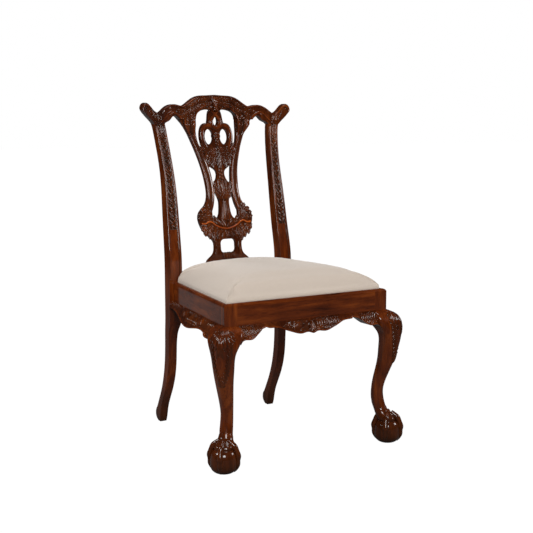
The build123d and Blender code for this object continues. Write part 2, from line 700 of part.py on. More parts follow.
with BuildPart() as crest_rail:
    with BuildSketch(Plane.XZ):
        with BuildLine():
            top_points = [crest_point(shares) for shares in crest_top_shares]
            top_line = Spline(*top_points, outer_end, tangents=((1, 0), (-0.6, -1)))
            arch = Spline(inner_end, *[crest_point(shares) for shares in crest_arch_shares[:2]], edge_points[-1],
                          tangents=((-0.3, 0.6), (-0.8, -1)))
            strap_top = splat_point(strap_inner_shares[0])
            window = Spline(strap_top, *[crest_point(shares) for shares in crest_window_shares[1:]])
            loop_top = loop @ 1
            Polyline(outer_end, inner_end)
            Polyline(edge_points[-1], strap_top)
            Polyline(window @ 1, (loop_half, (window @ 1).Y), (loop_half, loop_joint), (0, loop_joint),
                     (0, overall_height))
        make_face()
        mirror(about=Plane.YZ)
    extrude(amount=-overall_depth)
    # front face: an upright arc in plan that leans back; the back face stays upright
    faces = ((crest_middle_front, crest_lean, overall_depth), (crest_middle_front + crest_depth, 0, -overall_depth))
    for middle_y, lean, beyond in faces:
        with BuildSketch(Plane.XY.offset(post_top - overrun)):
            with BuildLine():
                shift = -overrun * lean
                plan = ThreePointArc((-arc_reach, crest_arc_y(arc_reach, middle_y) + shift), (0, middle_y + shift),
                                     (arc_reach, crest_arc_y(arc_reach, middle_y) + shift))
                Polyline(plan @ 1, (arc_reach, middle_y + beyond), (-arc_reach, middle_y + beyond), plan @ 0)
            make_face()
        extrude(amount=(crest_height + 2 * overrun) * math.sqrt(1 + lean ** 2), dir=(0, lean, 1),
                mode=Mode.INTERSECT)
    add(splat_mortise_set, mode=Mode.SUBTRACT)
    for dowel_plane in dowel_planes():
        bore = round_bar(dowel_plane, dowel_radius + joint_clearance, overrun, dowel_half_length + joint_clearance)
        add(bore, mode=Mode.SUBTRACT)
        mirror(bore, about=Plane.YZ, mode=Mode.SUBTRACT)
save(crest_rail.part, "crest_rail")

with BuildPart() as crest_dowels:
    for dowel_plane in dowel_planes():
        dowel = round_bar(dowel_plane, dowel_radius, dowel_half_length, dowel_half_length)
        add(dowel)
        mirror(dowel, about=Plane.YZ)
save(crest_dowels.part, "crest_dowels")

# Carved apron under the front rail, between its knee brackets
with BuildPart() as front_apron:
    with BuildSketch(front_plane):
        with BuildLine():
            lower = Spline(*[(x * front_joint, -drop * swell_drop) for x, drop in front_apron_shares],
                           (front_joint, -front_bracket_shares[0][1] * swell_drop), tangents=((1, 0.2), (1, -0.35)))
            Polyline(lower @ 1, (front_joint, 0), (0, 0), lower @ 0)
        make_face()
        mirror(about=Plane.YZ)
    extrude(amount=swell_drop, both=True)
    add(swell_blank(front_plane, front_joint + overrun), mode=Mode.INTERSECT)
save(front_apron.part, "front_apron")

# Knee brackets, scribed to the front leg
with BuildPart() as front_knee_bracket_right:
    with BuildSketch(front_plane):
        with BuildLine():
            lower = Spline(*[(front_joint + run * (stump_inner + overrun - front_joint), -drop * swell_drop)
                             for run, drop in front_bracket_shares])
            Polyline(lower @ 1, (stump_inner + overrun, 0), (front_joint, 0), lower @ 0)
        make_face()
    extrude(amount=swell_drop, both=True)
    add(swell_blank(front_plane, half_front), mode=Mode.INTERSECT)
    add(front_leg_right.part, mode=Mode.SUBTRACT)
save_pair(front_knee_bracket_right.part, "front_knee_bracket")

stump_run = stump_side / math.cos(splay)
with BuildPart() as side_knee_bracket_right:
    with BuildSketch(side_plane):
        with BuildLine():
            lower = Spline(*[(side_joint - run * (side_joint - stump_run + overrun), -drop * swell_drop)
                             for run, drop in side_bracket_shares])
            Polyline(lower @ 1, (stump_run - overrun, 0), (side_joint, 0), lower @ 0)
        make_face()
    extrude(amount=swell_drop, both=True)
    add(swell_blank(side_plane, side_run), mode=Mode.INTERSECT)
    add(front_leg_right.part, mode=Mode.SUBTRACT)
save_pair(side_knee_bracket_right.part, "side_knee_bracket")

# Side aprons, from the bracket to the post
with BuildPart() as side_apron_right:
    with BuildSketch(side_plane):
        with BuildLine():
            lower = Spline(*[(side_joint + run * (side_run - side_joint), -drop * swell_drop)
                             for run, drop in side_apron_shares])
            Polyline(lower @ 1, (side_run + swell_drop, (lower @ 1).Y), (side_run + swell_drop, 0), (side_joint, 0),
                     lower @ 0)
        make_face()
    extrude(amount=swell_drop, both=True)
    add(swell_blank(side_plane, side_run + 2 * swell_drop), mode=Mode.INTERSECT)
    split(bisect_by=Plane.XZ.offset(-post_front), keep=Keep.TOP)
save_pair(side_apron_right.part, "side_apron")

# Corner blocks, glued in the angles of the seat rails and screwed to them
with BuildPart() as front_corner_block_right:
    with BuildSketch(Plane.XY.offset(block_bottom)):
        Polygon((stump_inner - block_leg, front_rail_inner), (stump_inner, front_rail_inner), (stump_inner, stump_back),
                (inner_x(stump_back), stump_back), (inner_x(stump_back + block_leg), stump_back + block_leg), align=None)
    extrude(amount=block_height)
    for screw_plane in front_screws:
        add(screw_parts(screw_plane, screw_clearance), mode=Mode.SUBTRACT)
save_pair(front_corner_block_right.part, "front_corner_block")

with BuildPart() as rear_corner_block_right:
    with BuildSketch(Plane.XY.offset(block_bottom)):
        Polygon((inner_x(post_front), post_front), (post_inner, post_front), (post_inner, rear_rail_front),
                (post_inner - block_leg, rear_rail_front), (inner_x(post_front - block_leg), post_front - block_leg),
                align=None)
    extrude(amount=block_height)
    for screw_plane in rear_screws:
        add(screw_parts(screw_plane, screw_clearance), mode=Mode.SUBTRACT)
save_pair(rear_corner_block_right.part, "rear_corner_block")

with BuildPart() as corner_block_screws:
    for screw_plane in front_screws + rear_screws:
        screw = screw_parts(screw_plane, 0)
        add(screw)
        mirror(screw, about=Plane.YZ)
save(corner_block_screws.part, "corner_block_screws")

# Slip seat, lying in the rabbet of the rails
seat_front = front_face + lip_width + seat_clearance
seat_back = shoe_front - seat_clearance
seat_side_inset = lip_width + seat_clearance
notch_front = post_front - notch_clearance
notch_inner = post_inner - notch_clearance
frame_bottom = ledge_level + fabric_thickness
frame_top = frame_bottom + seat_member_thickness
webbing_top = frame_top + strap_thickness
pad_bottom = webbing_top + hessian_thickness


def seat_corners(inset):
    """Corners of the seat, without the notches, moved inwards by an inset."""
    front, back = seat_front + inset, seat_back - inset
    return [(-side_x(front, seat_side_inset + inset), front), (side_x(front, seat_side_inset + inset), front),
            (side_x(back, seat_side_inset + inset), back), (-side_x(back, seat_side_inset + inset), back)]


def seat_prism(inset, bottom, height):
    """A flat layer of the seat with its two rear corners notched round the posts."""
    with BuildPart() as layer:
        with BuildSketch(Plane.XY.offset(bottom)) as outline:
            Polygon(*seat_corners(inset), align=None)
            fillet(outline.vertices(), seat_corner_radius)
            for sign in (-1, 1):
                with Locations((sign * (notch_inner - inset), notch_front - inset)):
                    Rectangle(post_width, post_depth, align=(Align.MIN if sign > 0 else Align.MAX, Align.MIN),
                              mode=Mode.SUBTRACT)
        extrude(amount=height)
    return layer.part


def crown(inset, bottom):
    """The cushion's crowned form, moved inwards all round by an inset and cut off at the bottom."""
    with BuildPart() as form:
        for inset_share, rise_share, corner_share in crown_shares:
            with BuildSketch(Plane.XY.offset(rail_top + rise_share * cushion_rise - inset)) as section:
                corners = seat_corners(inset + inset_share * crown_inset)
                Polygon(*corners, align=None)
                wall = min(corners[2][0] - corners[3][0], corners[2][1] - corners[1][1])
                fillet(section.vertices(),
                       min(seat_corner_radius + corner_share * crown_corner, corner_wall_share * wall))
        loft()
        extrude(form.faces().sort_by(Axis.Z)[0], amount=rail_top - ledge_level + cushion_rise)
        for sign in (-1, 1):
            with BuildSketch(Plane.XY):
                with Locations((sign * (notch_inner - inset), notch_front - inset)):
                    Rectangle(post_width, post_depth, align=(Align.MIN if sign > 0 else Align.MAX, Align.MIN))
            extrude(amount=overall_height, mode=Mode.SUBTRACT)
        split(bisect_by=Plane.XY.offset(bottom), keep=Keep.TOP)
    return form.part


# Seat frame: front and back members, with the side members tenoned between them
member_inset = fabric_thickness
member_front_back = seat_front + member_inset + seat_member_width
member_rear_front = seat_back - member_inset - seat_member_width
seat_tenon_bottom = frame_bottom + (seat_member_thickness - seat_tenon_thickness) / 2


def seat_tenon(gain):
    """Tenons at both ends of the right side member, as one bar along it, grown by a clearance."""
    middle = seat_side_inset + member_inset + seat_member_width / 2
    front_y = member_front_back - seat_tenon_length - gain
    rear_y = member_rear_front + seat_tenon_length + gain
    with BuildPart() as bar:
        with BuildSketch(Plane.XY.offset(seat_tenon_bottom - gain)):
            half = seat_tenon_width / 2 + gain
            Polygon((side_x(front_y, middle - half), front_y), (side_x(rear_y, middle - half), rear_y),
                    (side_x(rear_y, middle + half), rear_y), (side_x(front_y, middle + half), front_y), align=None)
        extrude(amount=seat_tenon_thickness + 2 * gain)
    return bar.part


frame_blank = seat_prism(member_inset, frame_bottom, seat_member_thickness)
seat_mortise = seat_tenon(joint_clearance)

with BuildPart() as seat_frame_front:
    add(frame_blank)
    split(bisect_by=Plane.XZ.offset(-member_front_back), keep=Keep.TOP)
    add(seat_mortise, mode=Mode.SUBTRACT)
    mirror(seat_mortise, about=Plane.YZ, mode=Mode.SUBTRACT)
save(seat_frame_front.part, "seat_frame_front")

with BuildPart() as seat_frame_back:
    add(frame_blank)
    split(bisect_by=Plane.XZ.offset(-member_rear_front), keep=Keep.BOTTOM)
    add(seat_mortise, mode=Mode.SUBTRACT)
    mirror(seat_mortise, about=Plane.YZ, mode=Mode.SUBTRACT)
save(seat_frame_back.part, "seat_frame_back")

with BuildPart() as seat_frame_side_right:
    with BuildSketch(Plane.XY.offset(frame_bottom)):
        outer = seat_side_inset + member_inset
        inner = outer + seat_member_width
        Polygon((side_x(member_front_back, outer), member_front_back), (side_x(member_rear_front, outer), member_rear_front),
                (side_x(member_rear_front, inner), member_rear_front), (side_x(member_front_back, inner), member_front_back),
                align=None)
    extrude(amount=seat_member_thickness)
    add(seat_tenon(0))
save_pair(seat_frame_side_right.part, "seat_frame_side")

# Webbing: straps both ways, interwoven into one layer on the frame
with BuildPart() as seat_webbing:
    strap_pitch_y = (seat_back - seat_front) / 4
    strap_pitch_x = half_front / 2
    with BuildSketch(Plane.XY.offset(frame_top)):
        with Locations(*[(0, seat_front + number * strap_pitch_y) for number in (1, 2, 3)]):
            Rectangle(front_width, strap_width)
        with Locations(*[(number * strap_pitch_x, (seat_front + seat_back) / 2) for number in (-1, 0, 1)]):
            Rectangle(strap_width, seat_depth)
    extrude(amount=strap_thickness)
    add(seat_prism(member_inset, frame_top, strap_thickness), mode=Mode.INTERSECT)
save(seat_webbing.part, "seat_webbing")

save(seat_prism(member_inset, webbing_top, hessian_thickness), "seat_hessian")

# Stuffing and its cover
pad_form = crown(fabric_thickness, pad_bottom)
save(pad_form, "seat_pad")

with BuildPart() as seat_cover:
    add(crown(0, ledge_level))
    add(crown(fabric_thickness, frame_bottom), mode=Mode.SUBTRACT)
    add(seat_prism(cover_turn_under, ledge_level - overrun, fabric_thickness + 2 * overrun), mode=Mode.SUBTRACT)
save(seat_cover.part, "seat_cover")

cambric_bottom = ledge_level - cambric_thickness
save(seat_prism(cambric_inset, cambric_bottom, cambric_thickness), "dust_cover")

# Tacks round the underside
with BuildPart() as cover_tacks:
    tack_corners = seat_corners(tack_inset)
    side_end = side_x(notch_front, seat_side_inset + tack_inset)
    tack_places = [(mix(tack_corners[0][0], tack_corners[1][0], share), tack_corners[0][1])
                   for share in front_tack_shares]
    for sign in (-1, 1):
        tack_places += [(sign * share * notch_inner, seat_back - tack_inset) for share in back_tack_shares]
        tack_places += [(sign * mix(tack_corners[1][0], side_end, share), mix(tack_corners[1][1], notch_front, share))
                        for share in side_tack_shares]
    with BuildSketch(Plane.XY.offset(cambric_bottom)):
        with Locations(*tack_places):
            Circle(tack_head_radius)
    extrude(amount=-tack_head_height)
    with BuildSketch(Plane.XY.offset(cambric_bottom)):
        with Locations(*tack_places):
            Circle(tack_shank_radius)
    extrude(amount=tack_length)
save(cover_tacks.part, "cover_tacks")
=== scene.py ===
"""Carved side chair: the looks of its wood and its seat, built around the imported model."""

import math

import bmesh
import bpy
import numpy as np
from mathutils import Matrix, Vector


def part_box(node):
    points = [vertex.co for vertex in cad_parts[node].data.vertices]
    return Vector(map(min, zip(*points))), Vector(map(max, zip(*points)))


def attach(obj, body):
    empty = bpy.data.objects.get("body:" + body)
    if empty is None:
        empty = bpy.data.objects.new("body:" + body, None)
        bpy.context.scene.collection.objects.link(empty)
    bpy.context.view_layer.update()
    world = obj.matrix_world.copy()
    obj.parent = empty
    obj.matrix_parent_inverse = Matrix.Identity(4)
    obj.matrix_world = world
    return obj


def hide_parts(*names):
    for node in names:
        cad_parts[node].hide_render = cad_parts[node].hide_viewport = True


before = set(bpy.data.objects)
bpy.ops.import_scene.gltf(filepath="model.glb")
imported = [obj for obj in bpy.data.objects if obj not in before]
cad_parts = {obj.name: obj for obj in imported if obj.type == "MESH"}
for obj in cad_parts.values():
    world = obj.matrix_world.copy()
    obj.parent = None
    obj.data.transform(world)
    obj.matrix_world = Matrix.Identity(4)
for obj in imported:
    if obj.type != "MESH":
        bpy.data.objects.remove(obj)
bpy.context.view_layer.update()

bl_info = {
    "name": "Carved side chair",
    "version": (1, 0, 0),
    "blender": (4, 5, 0),
    "location": "View3D > Sidebar > Chair",
    "description": "Dresses the packed chair with its carving, its polish and its upholstered seat",
    "category": "Add Mesh",
}

MM = 0.001
WOOD_BODY = "chair_frame"
SEAT_BODY = "slip_seat"
SUNK = 1.2 * MM  # how far carving reaches into the wood under it
JOINT_SUNK = 9 * MM  # the same where the straps pass into the crest
EDGE_GAP = 0.6 * MM  # how far carving keeps inside the outline of the back
SKIRT_GAP = 0.4 * MM  # the same for the skirts under the seat


# Measuring the frame


def node_triangles(name):
    """Corner points of a node's triangles, as an array of triangle, corner and coordinate."""
    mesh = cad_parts[name].data
    mesh.calc_loop_triangles()
    points = np.empty(len(mesh.vertices) * 3)
    mesh.vertices.foreach_get("co", points)
    corners = np.empty(len(mesh.loop_triangles) * 3, dtype=np.int32)
    mesh.loop_triangles.foreach_get("vertices", corners)
    return points.reshape(-1, 3)[corners.reshape(-1, 3)]


def crossing(triangles, axis, level):
    """Points where the triangles' edges cross a plane square to an axis."""
    starts = triangles.reshape(-1, 3)
    ends = np.roll(triangles, -1, axis=1).reshape(-1, 3)
    below, above = starts[:, axis] - level, ends[:, axis] - level
    hit = below * above < 0
    share = (below[hit] / (below[hit] - above[hit]))[:, None]
    return starts[hit] + (ends[hit] - starts[hit]) * share


def extents(triangles, axis, levels, measured):
    """Lowest and highest coordinate on the measured axis at each level of the other axis."""
    found = [crossing(triangles, axis, level)[:, measured] for level in levels]
    return np.array([line.min() for line in found]), np.array([line.max() for line in found])


# Building meshes


def smooth_line(places, count):
    """A smooth line through points, as count points evenly spread in the parameter (Catmull-Rom form)."""
    places = np.asarray(places, float)
    knots = np.concatenate([[2 * places[0] - places[1]], places, [2 * places[-1] - places[-2]]])
    where = np.linspace(0, len(places) - 1 - 1e-9, count)
    number = where.astype(int)
    t = (where - number)[:, None]
    p0, p1, p2, p3 = (knots[number + step] for step in range(4))
    square, cube = 2 * p0 - 5 * p1 + 4 * p2 - p3, 3 * p1 - p0 - 3 * p2 + p3
    return 0.5 * (2 * p1 + (p2 - p0) * t + square * t ** 2 + cube * t ** 3)


def squares(places):
    """Unit vectors square to a line of plane points, on its left."""
    ahead = np.gradient(places, axis=0)
    ahead /= np.linalg.norm(ahead, axis=1)[:, None] + 1e-12
    return np.stack([-ahead[:, 1], ahead[:, 0]], axis=1)


def spread(values, count):
    """A list of values read at count even steps from its first to its last."""
    return np.interp(np.linspace(0, 1, count), np.linspace(0, 1, len(values)), values)


def hill(values, middle, reach):
    """A bell curve over values: 1 at the middle, and 1/e at the reach."""
    return np.exp(-(((values - middle) / reach) ** 2))


def pairs(values):
    """Plane points or sizes in millimetres as metres."""
    return np.array(values, float) * MM


def sheet_faces(rows, columns, first=0, closed=False):
    """Four-cornered faces of a grid of points, closed from the last column to the first where asked."""
    numbers = first + np.arange(rows * columns).reshape(rows, columns)
    if closed:
        numbers = np.hstack([numbers, numbers[:, :1]])
    faces = [numbers[:-1, :-1], numbers[1:, :-1], numbers[1:, 1:], numbers[:-1, 1:]]
    return np.stack([part.ravel() for part in faces], axis=1)


class Shells:
    """Closed shells gathered into one mesh, each with its recess: 0 on high wood and 1 in deep cuts."""

    def __init__(self):
        self.points, self.faces, self.recess, self.total = [], [], [], 0

    def keep(self, points, faces, recess):
        """Adds one closed shell, turned so that its faces look outwards."""
        corners = points[faces]
        middle = points.mean(0)
        spans = np.cross(corners[:, 2] - corners[:, 0], corners[:, 3] - corners[:, 1])
        if ((corners.mean(1) - middle) * spans).sum() < 0:
            faces = faces[:, ::-1]
        self.points.append(points)
        self.faces.append(faces + self.total)
        self.recess.append(np.broadcast_to(recess, len(points)))
        self.total += len(points)

    def slab(self, top, bottom, recess=0.0):
        """A shell between two grids of points of the same shape, closed round its four edges."""
        rows, columns = top.shape[:2]
        numbers = np.arange(rows * columns).reshape(rows, columns)
        rim = np.concatenate([numbers[0, :-1], numbers[:-1, -1], numbers[-1, :0:-1], numbers[:0:-1, 0]])
        after, count = np.roll(rim, -1), rows * columns
        wall = np.stack([rim, after, after + count, rim + count], axis=1)
        upper = sheet_faces(rows, columns)
        lower = sheet_faces(rows, columns, first=count)[:, ::-1]
        recess = np.broadcast_to(recess, (rows, columns)).ravel()
        points = np.concatenate([top.reshape(-1, 3), bottom.reshape(-1, 3)])
        self.keep(points, np.concatenate([upper, lower, wall[:, ::-1]]), np.concatenate([recess, recess * 0]))

    def tube(self, rings, recess=0.0):
        """A shell through rings of points, with its two ends drawn together to closed poles."""
        rows, columns = rings.shape[:2]
        first, last = (np.repeat(ring.mean(0)[None], columns, 0)[None] for ring in (rings[0], rings[-1]))
        capped = np.concatenate([first, rings, last])
        recess = np.broadcast_to(recess, (rows, columns))
        recess = np.concatenate([recess[:1], recess, recess[-1:]])
        self.keep(capped.reshape(-1, 3), sheet_faces(rows + 2, columns, closed=True), recess.ravel())

    def mirrored(self):
        """The same shells on the other side of X = 0, added to these."""
        for points, faces, recess in list(zip(self.points, self.faces, self.recess)):
            first = faces.min()
            self.points.append(points * [-1, 1, 1])
            self.faces.append(faces[:, ::-1] - first + self.total)
            self.recess.append(recess)
            self.total += len(points)
        return self

    def flipped(self):
        """New shells that mirror these about X = 0."""
        other = Shells()
        other.points = [points * [-1, 1, 1] for points in self.points]
        other.faces = [faces[:, ::-1] for faces in self.faces]
        other.recess, other.total = list(self.recess), self.total
        return other

    def build(self, name, body, slot, material, replaced=()):
        """Makes the object, joins double points and hands it to its body."""
        mesh = bpy.data.meshes.new(name)
        points = np.concatenate(self.points)
        faces = np.concatenate(self.faces)
        mesh.from_pydata(points.tolist(), [], faces.tolist())
        # The recess is the mask of the dark glazing and the painted shade in the cuts.
        held = mesh.attributes.new("recess", "FLOAT", "POINT")
        held.data.foreach_set("value", np.concatenate(self.recess).astype(np.float32))
        mesh.validate()
        piece = bpy.data.objects.new(name, mesh)
        bpy.context.scene.collection.objects.link(piece)
        finish_mesh(mesh)
        mesh.materials.append(material)
        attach(piece, body)
        if replaced:
            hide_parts(*replaced)
        return piece

    def carve(self, name, finish="leafage"):
        """Makes carving of the wooden frame."""
        self.build(name, WOOD_BODY, "mahogany", finish_of(finish))

    def carve_pair(self, name, finish="leafage"):
        """Makes these shells as the right piece of the frame and their mirror images as the left one."""
        self.carve(name + "_right", finish)
        self.flipped().carve(name + "_left", finish)


def finish_mesh(mesh):
    """Joins double points, drops faces without area and shades the mesh smooth."""
    work = bmesh.new()
    work.from_mesh(mesh)
    bmesh.ops.remove_doubles(work, verts=work.verts, dist=1e-6)
    bmesh.ops.dissolve_degenerate(work, edges=work.edges, dist=1e-7)
    work.to_mesh(mesh)
    work.free()
    mesh.shade_smooth()


LEAF_BELLY = 0.42  # place of a leaf's widest part from root to tip
NARROW_LEAF = 6.5 * MM  # half width under which a leaf has fewer flutes


def leaf(root, tip, width, bend, lobes, rows, columns):
    """A lobed leaf on a plane: grids of its two plane coordinates, its height from 0 to 1 and its recess.

    Its middle line runs from root to tip with a sideways bend of bend * sin. Its half width rises to the
    belly and falls to the tip, notched between the lobes. Flutes run along it, spread with its width and
    end in the lobes."""
    run = np.linspace(0, 1, rows)[:, None]
    side = np.linspace(-1, 1, columns)[None]
    along = tip - root
    square = np.array([-along[1], along[0]]) / np.linalg.norm(along)
    rise = LEAF_BELLY / (1 - LEAF_BELLY)
    peak = LEAF_BELLY ** rise * (1 - LEAF_BELLY)
    shape = (run ** rise * (1 - run)) / peak * 0.84 + 0.16 * (1 - run) ** 0.5
    saw = (lobes * run) % 1
    half = width * shape * (0.66 + 0.4 * saw ** 0.8 * (1 - saw ** 6))
    forward = run + 0.9 / lobes * np.abs(side) ** 1.6 * np.sin(np.pi * run) ** 0.4
    middle = np.sin(np.pi * run) * bend
    across = root[0] + along[0] * forward + square[0] * (half * side + middle)
    up = root[1] + along[1] * forward + square[1] * (half * side + middle)
    flutes = 1.5 if width < NARROW_LEAF else 2.5
    ridge = np.abs(np.cos(np.pi * flutes * side * (1 - 0.25 * run)))
    crown = np.sqrt(np.clip(1 - side ** 2, 0, 1)) * (0.55 + 0.45 * np.sin(np.pi * run ** 0.7))
    step = 0.82 + 0.18 * saw
    height = crown * (0.42 + 0.58 * ridge ** 0.8) * step
    recess = np.clip(1.05 - 1.35 * ridge + 0.7 * np.abs(side) ** 4 + 0.35 * (1 - saw) ** 4, 0, 1)
    return across, up, height, recess


FLUTE_COLUMNS = 8


def fan(centre, reach, start, end, flutes, inner, rows):
    """A shell of flutes that spread from a centre: plane coordinates, height and recess.

    Polar grid from the inner share of the reach to its scalloped edge; each flute is a hollow between
    two ridges."""
    columns = flutes * FLUTE_COLUMNS + 1
    out = np.linspace(inner, 1, rows)[:, None]
    turn = np.linspace(start, end, columns)[None]
    ridge = np.abs(np.cos(np.pi * np.linspace(0, flutes, columns)[None]))
    radius = reach * out * (1 - 0.1 * ridge * out ** 3)
    height = (0.3 + 0.7 * ridge ** 0.6 * out ** 0.4) * (1 - 0.7 * out ** 6)
    recess = np.clip(1.15 - 1.5 * ridge, 0, 1)
    return centre[0] + np.sin(turn) * radius, centre[1] + np.cos(turn) * radius, height, recess


# Finishes


class Socket:
    """A value in a material's node tree; sums and products of sockets add Math nodes."""

    def __init__(self, tree, output):
        self.tree, self.output = tree, output

    def maths(self, operation, *values, clamp=False):
        choices = {"operation": operation, "use_clamp": clamp}
        return self.tree.node("ShaderNodeMath", choices, dict(enumerate(values)))

    def __add__(self, other):
        return self.maths("ADD", self, other)

    def __sub__(self, other):
        return self.maths("SUBTRACT", self, other)

    def __rsub__(self, other):
        return self.maths("SUBTRACT", other, self)

    def __mul__(self, other):
        return self.maths("MULTIPLY", self, other)

    def __pow__(self, other):
        return self.maths("POWER", self, other)

    __radd__, __rmul__ = __add__, __mul__

    def clamped(self):
        return self.maths("ADD", self, 0.0, clamp=True)


class Finish:
    """The node tree of a material or a world under construction."""

    def __init__(self, name, kind="materials"):
        self.owner = getattr(bpy.data, kind).new(name)
        self.owner.use_nodes = True
        self.nodes, self.links = self.owner.node_tree.nodes, self.owner.node_tree.links
        self.nodes.clear()

    def node(self, kind, choices, inputs, output=0):
        """Adds a node: its settings first, a ramp's stops among them, then its sockets' values or links."""
        made = self.nodes.new(kind)
        for key, value in choices.items():
            if key == "stops":
                ramp = made.color_ramp
                while len(ramp.elements) < len(value):
                    ramp.elements.new(0.5)
                for element, (place, tint) in zip(ramp.elements, value):
                    element.position, element.color = place, colour(tint)
            else:
                setattr(made, key, value)
        for key, value in inputs.items():
            if isinstance(value, Socket):
                self.links.new(value.output, made.inputs[key])
            else:
                made.inputs[key].default_value = value
        return Socket(self, made.outputs[output]) if made.outputs else None

    def place(self, scale=(1.0, 1.0, 1.0)):
        """Object coordinates, stretched by a scale along each axis."""
        where = self.node("ShaderNodeTexCoord", {}, {}, "Object")
        return self.node("ShaderNodeMapping", {}, {"Vector": where, "Scale": scale})

    def noise(self, where, scale, detail=3.0, rough=0.55, bend=0.0):
        inputs = {"Vector": where, "Scale": scale, "Detail": detail, "Roughness": rough, "Distortion": bend}
        return self.node("ShaderNodeTexNoise", {}, inputs, "Fac")

    def ramp(self, value, stops):
        return self.node("ShaderNodeValToRGB", {"stops": stops}, {"Fac": value}, "Color")

    def mix(self, share, first, second, how="MIX"):
        """Mixes two colours; sockets 6 and 7 and output 2 of the node are its colours."""
        ways = {"data_type": "RGBA", "blend_type": how}
        return self.node("ShaderNodeMix", ways, {"Factor": share, 6: first, 7: second}, 2)

    def bump(self, height, strength, distance, under=None):
        inputs = {"Height": height, "Strength": strength, "Distance": distance}
        if under is not None:
            inputs["Normal"] = under
        return self.node("ShaderNodeBump", {}, inputs, "Normal")

    def ended(self, shader, kind="ShaderNodeOutputMaterial"):
        """Ends the tree in a shader."""
        self.node(kind, {}, {"Surface": shader})
        return self.owner

    def surface(self, **inputs):
        """Ends the material in a Principled shader with these inputs, spaces written as underscores."""
        named = {key.replace("_", " "): value for key, value in inputs.items()}
        return self.ended(self.node("ShaderNodeBsdfPrincipled", {}, named))


def colour(values):
    return (*values, 1.0)


WHITE = (1.0, 1.0, 1.0)
GRAIN_STOPS = (0.28, 0.5, 0.74)
PORE_STOPS = [(0.34, (0.5, 0.44, 0.4)), (0.5, WHITE)]
# Painted shade: under 13 cm the wood darkens towards the floor.
FLOOR_UNSHADED_SHARE, UNSHADED_RISE = 0.22, 6.0  # share of the wood's own colour at the floor, and its rise in a metre


def polished_wood(name, along, looks, lift=1.0):
    """French-polished mahogany: streaks and fine pores along the grain, and in the cuts dark glazing
    together with painted shade.

    The lift scales the whole colour: above 1 it gives a lighter copy with painted highlight, below 1 a
    darker copy with painted shade. Under 13 cm the wood darkens towards the floor as painted shade."""
    finish = Finish(name)
    stretch = [1.0, 1.0, 1.0]
    stretch["XYZ".index(along)] = looks.grain_stretch
    where, whole = finish.place(stretch), finish.place()
    cloud = finish.noise(whole, 7.0, 2.0)
    streak = finish.noise(where, 70.0, 4.0, 0.6, 0.4)
    fine = finish.noise(where, 420.0, 3.0, 0.7)
    figure = (streak * 0.62 + cloud * 0.38).clamped()
    # The lift makes lit and shaded copies of the wood: painted highlight above 1, painted shade below.
    tones = (looks.wood_dark, looks.wood_middle, looks.wood_light)
    tints = [[min(1.0, part * lift) for part in tone] for tone in tones]
    tone = finish.ramp(figure, list(zip(GRAIN_STOPS, tints)))
    tone = finish.mix(0.75, tone, finish.ramp(fine, PORE_STOPS), "MULTIPLY")
    # The recess darkens the cuts towards the glaze colour: partly dark glazing, partly painted shade.
    cut = finish.node("ShaderNodeAttribute", {"attribute_name": "recess"}, {}, "Fac")
    glaze_and_shade = ((cut ** 0.7) * looks.glaze_and_shade).clamped()
    tone = finish.mix(glaze_and_shade, tone, colour(looks.glaze_and_shade_colour))
    # Painted shade towards the floor, in the colour of the glazing.
    height = finish.node("ShaderNodeSeparateXYZ", {}, {"Vector": whole}, "Z")
    light = (height * UNSHADED_RISE + FLOOR_UNSHADED_SHARE).clamped()
    tone = finish.mix(light, colour(looks.glaze_and_shade_colour), tone)
    rough = (fine * 0.1 + cloud * 0.08 + cut * 0.3 + looks.polish).clamped()
    grain = finish.bump(fine, 0.12, 0.0006)
    wave = finish.bump(cloud, 0.25, 0.002, grain)
    return finish.surface(Base_Color=tone, Roughness=rough, Normal=wave, Specular_IOR_Level=0.05,
                          Coat_Weight=0.85, Coat_Roughness=0.08, Coat_IOR=1.4)


def plain_wood(name, looks):
    """Planed, unpolished wood of the blocks and the seat's frame."""
    finish = Finish(name)
    grain = finish.noise(finish.place((8.0, 1.2, 8.0)), 24.0, 4.0, 0.6, 0.5)
    tone = finish.ramp(grain, [(0.3, (0.3, 0.19, 0.1)), (0.7, tuple(looks.block_colour))])
    return finish.surface(Base_Color=tone, Roughness=0.62, Normal=finish.bump(grain, 0.2, 0.0008))


def woven(name, base, thread, gap_tone, rough, bump_height):
    """Plain weave on object coordinates: warp and weft threads that pass over and under each other.

    Each is a squared sine with a period of one thread, and the larger of the two shows."""
    finish = Finish(name)
    where = finish.place()
    turn = math.pi / thread
    splitter = finish.node("ShaderNodeSeparateXYZ", {}, {"Vector": where}, "X").output.node
    across, along, upward = (Socket(finish, splitter.outputs[axis]) for axis in "XYZ")
    warp = across.maths("SINE", across * turn)
    weft = across.maths("SINE", (along + upward) * turn)
    threads = across.maths("MAXIMUM", warp * warp, weft * weft)
    slub = finish.noise(finish.place((1.0, 6.0, 1.0)), 60.0, 3.0)
    shade = finish.noise(where, 7.0, 2.0)
    tone = finish.ramp(threads * 0.7 + slub * 0.3, [(0.35, gap_tone), (0.75, base)])
    tone = finish.mix(shade * 0.35, tone, colour([part * 0.9 for part in base]))
    return finish.surface(Base_Color=tone, Roughness=rough, Sheen_Weight=0.25, Sheen_Roughness=0.5,
                          Normal=finish.bump(threads + slub * 0.5, 0.35, bump_height))


def dull_steel(name):
    """Darkened steel of the screws and the tacks."""
    finish = Finish(name)
    spots = finish.noise(finish.place(), 300.0, 3.0)
    tone = finish.ramp(spots, [(0.4, (0.16, 0.15, 0.14)), (0.65, (0.34, 0.32, 0.3))])
    return finish.surface(Base_Color=tone, Metallic=1.0, Roughness=spots * 0.25 + 0.3)


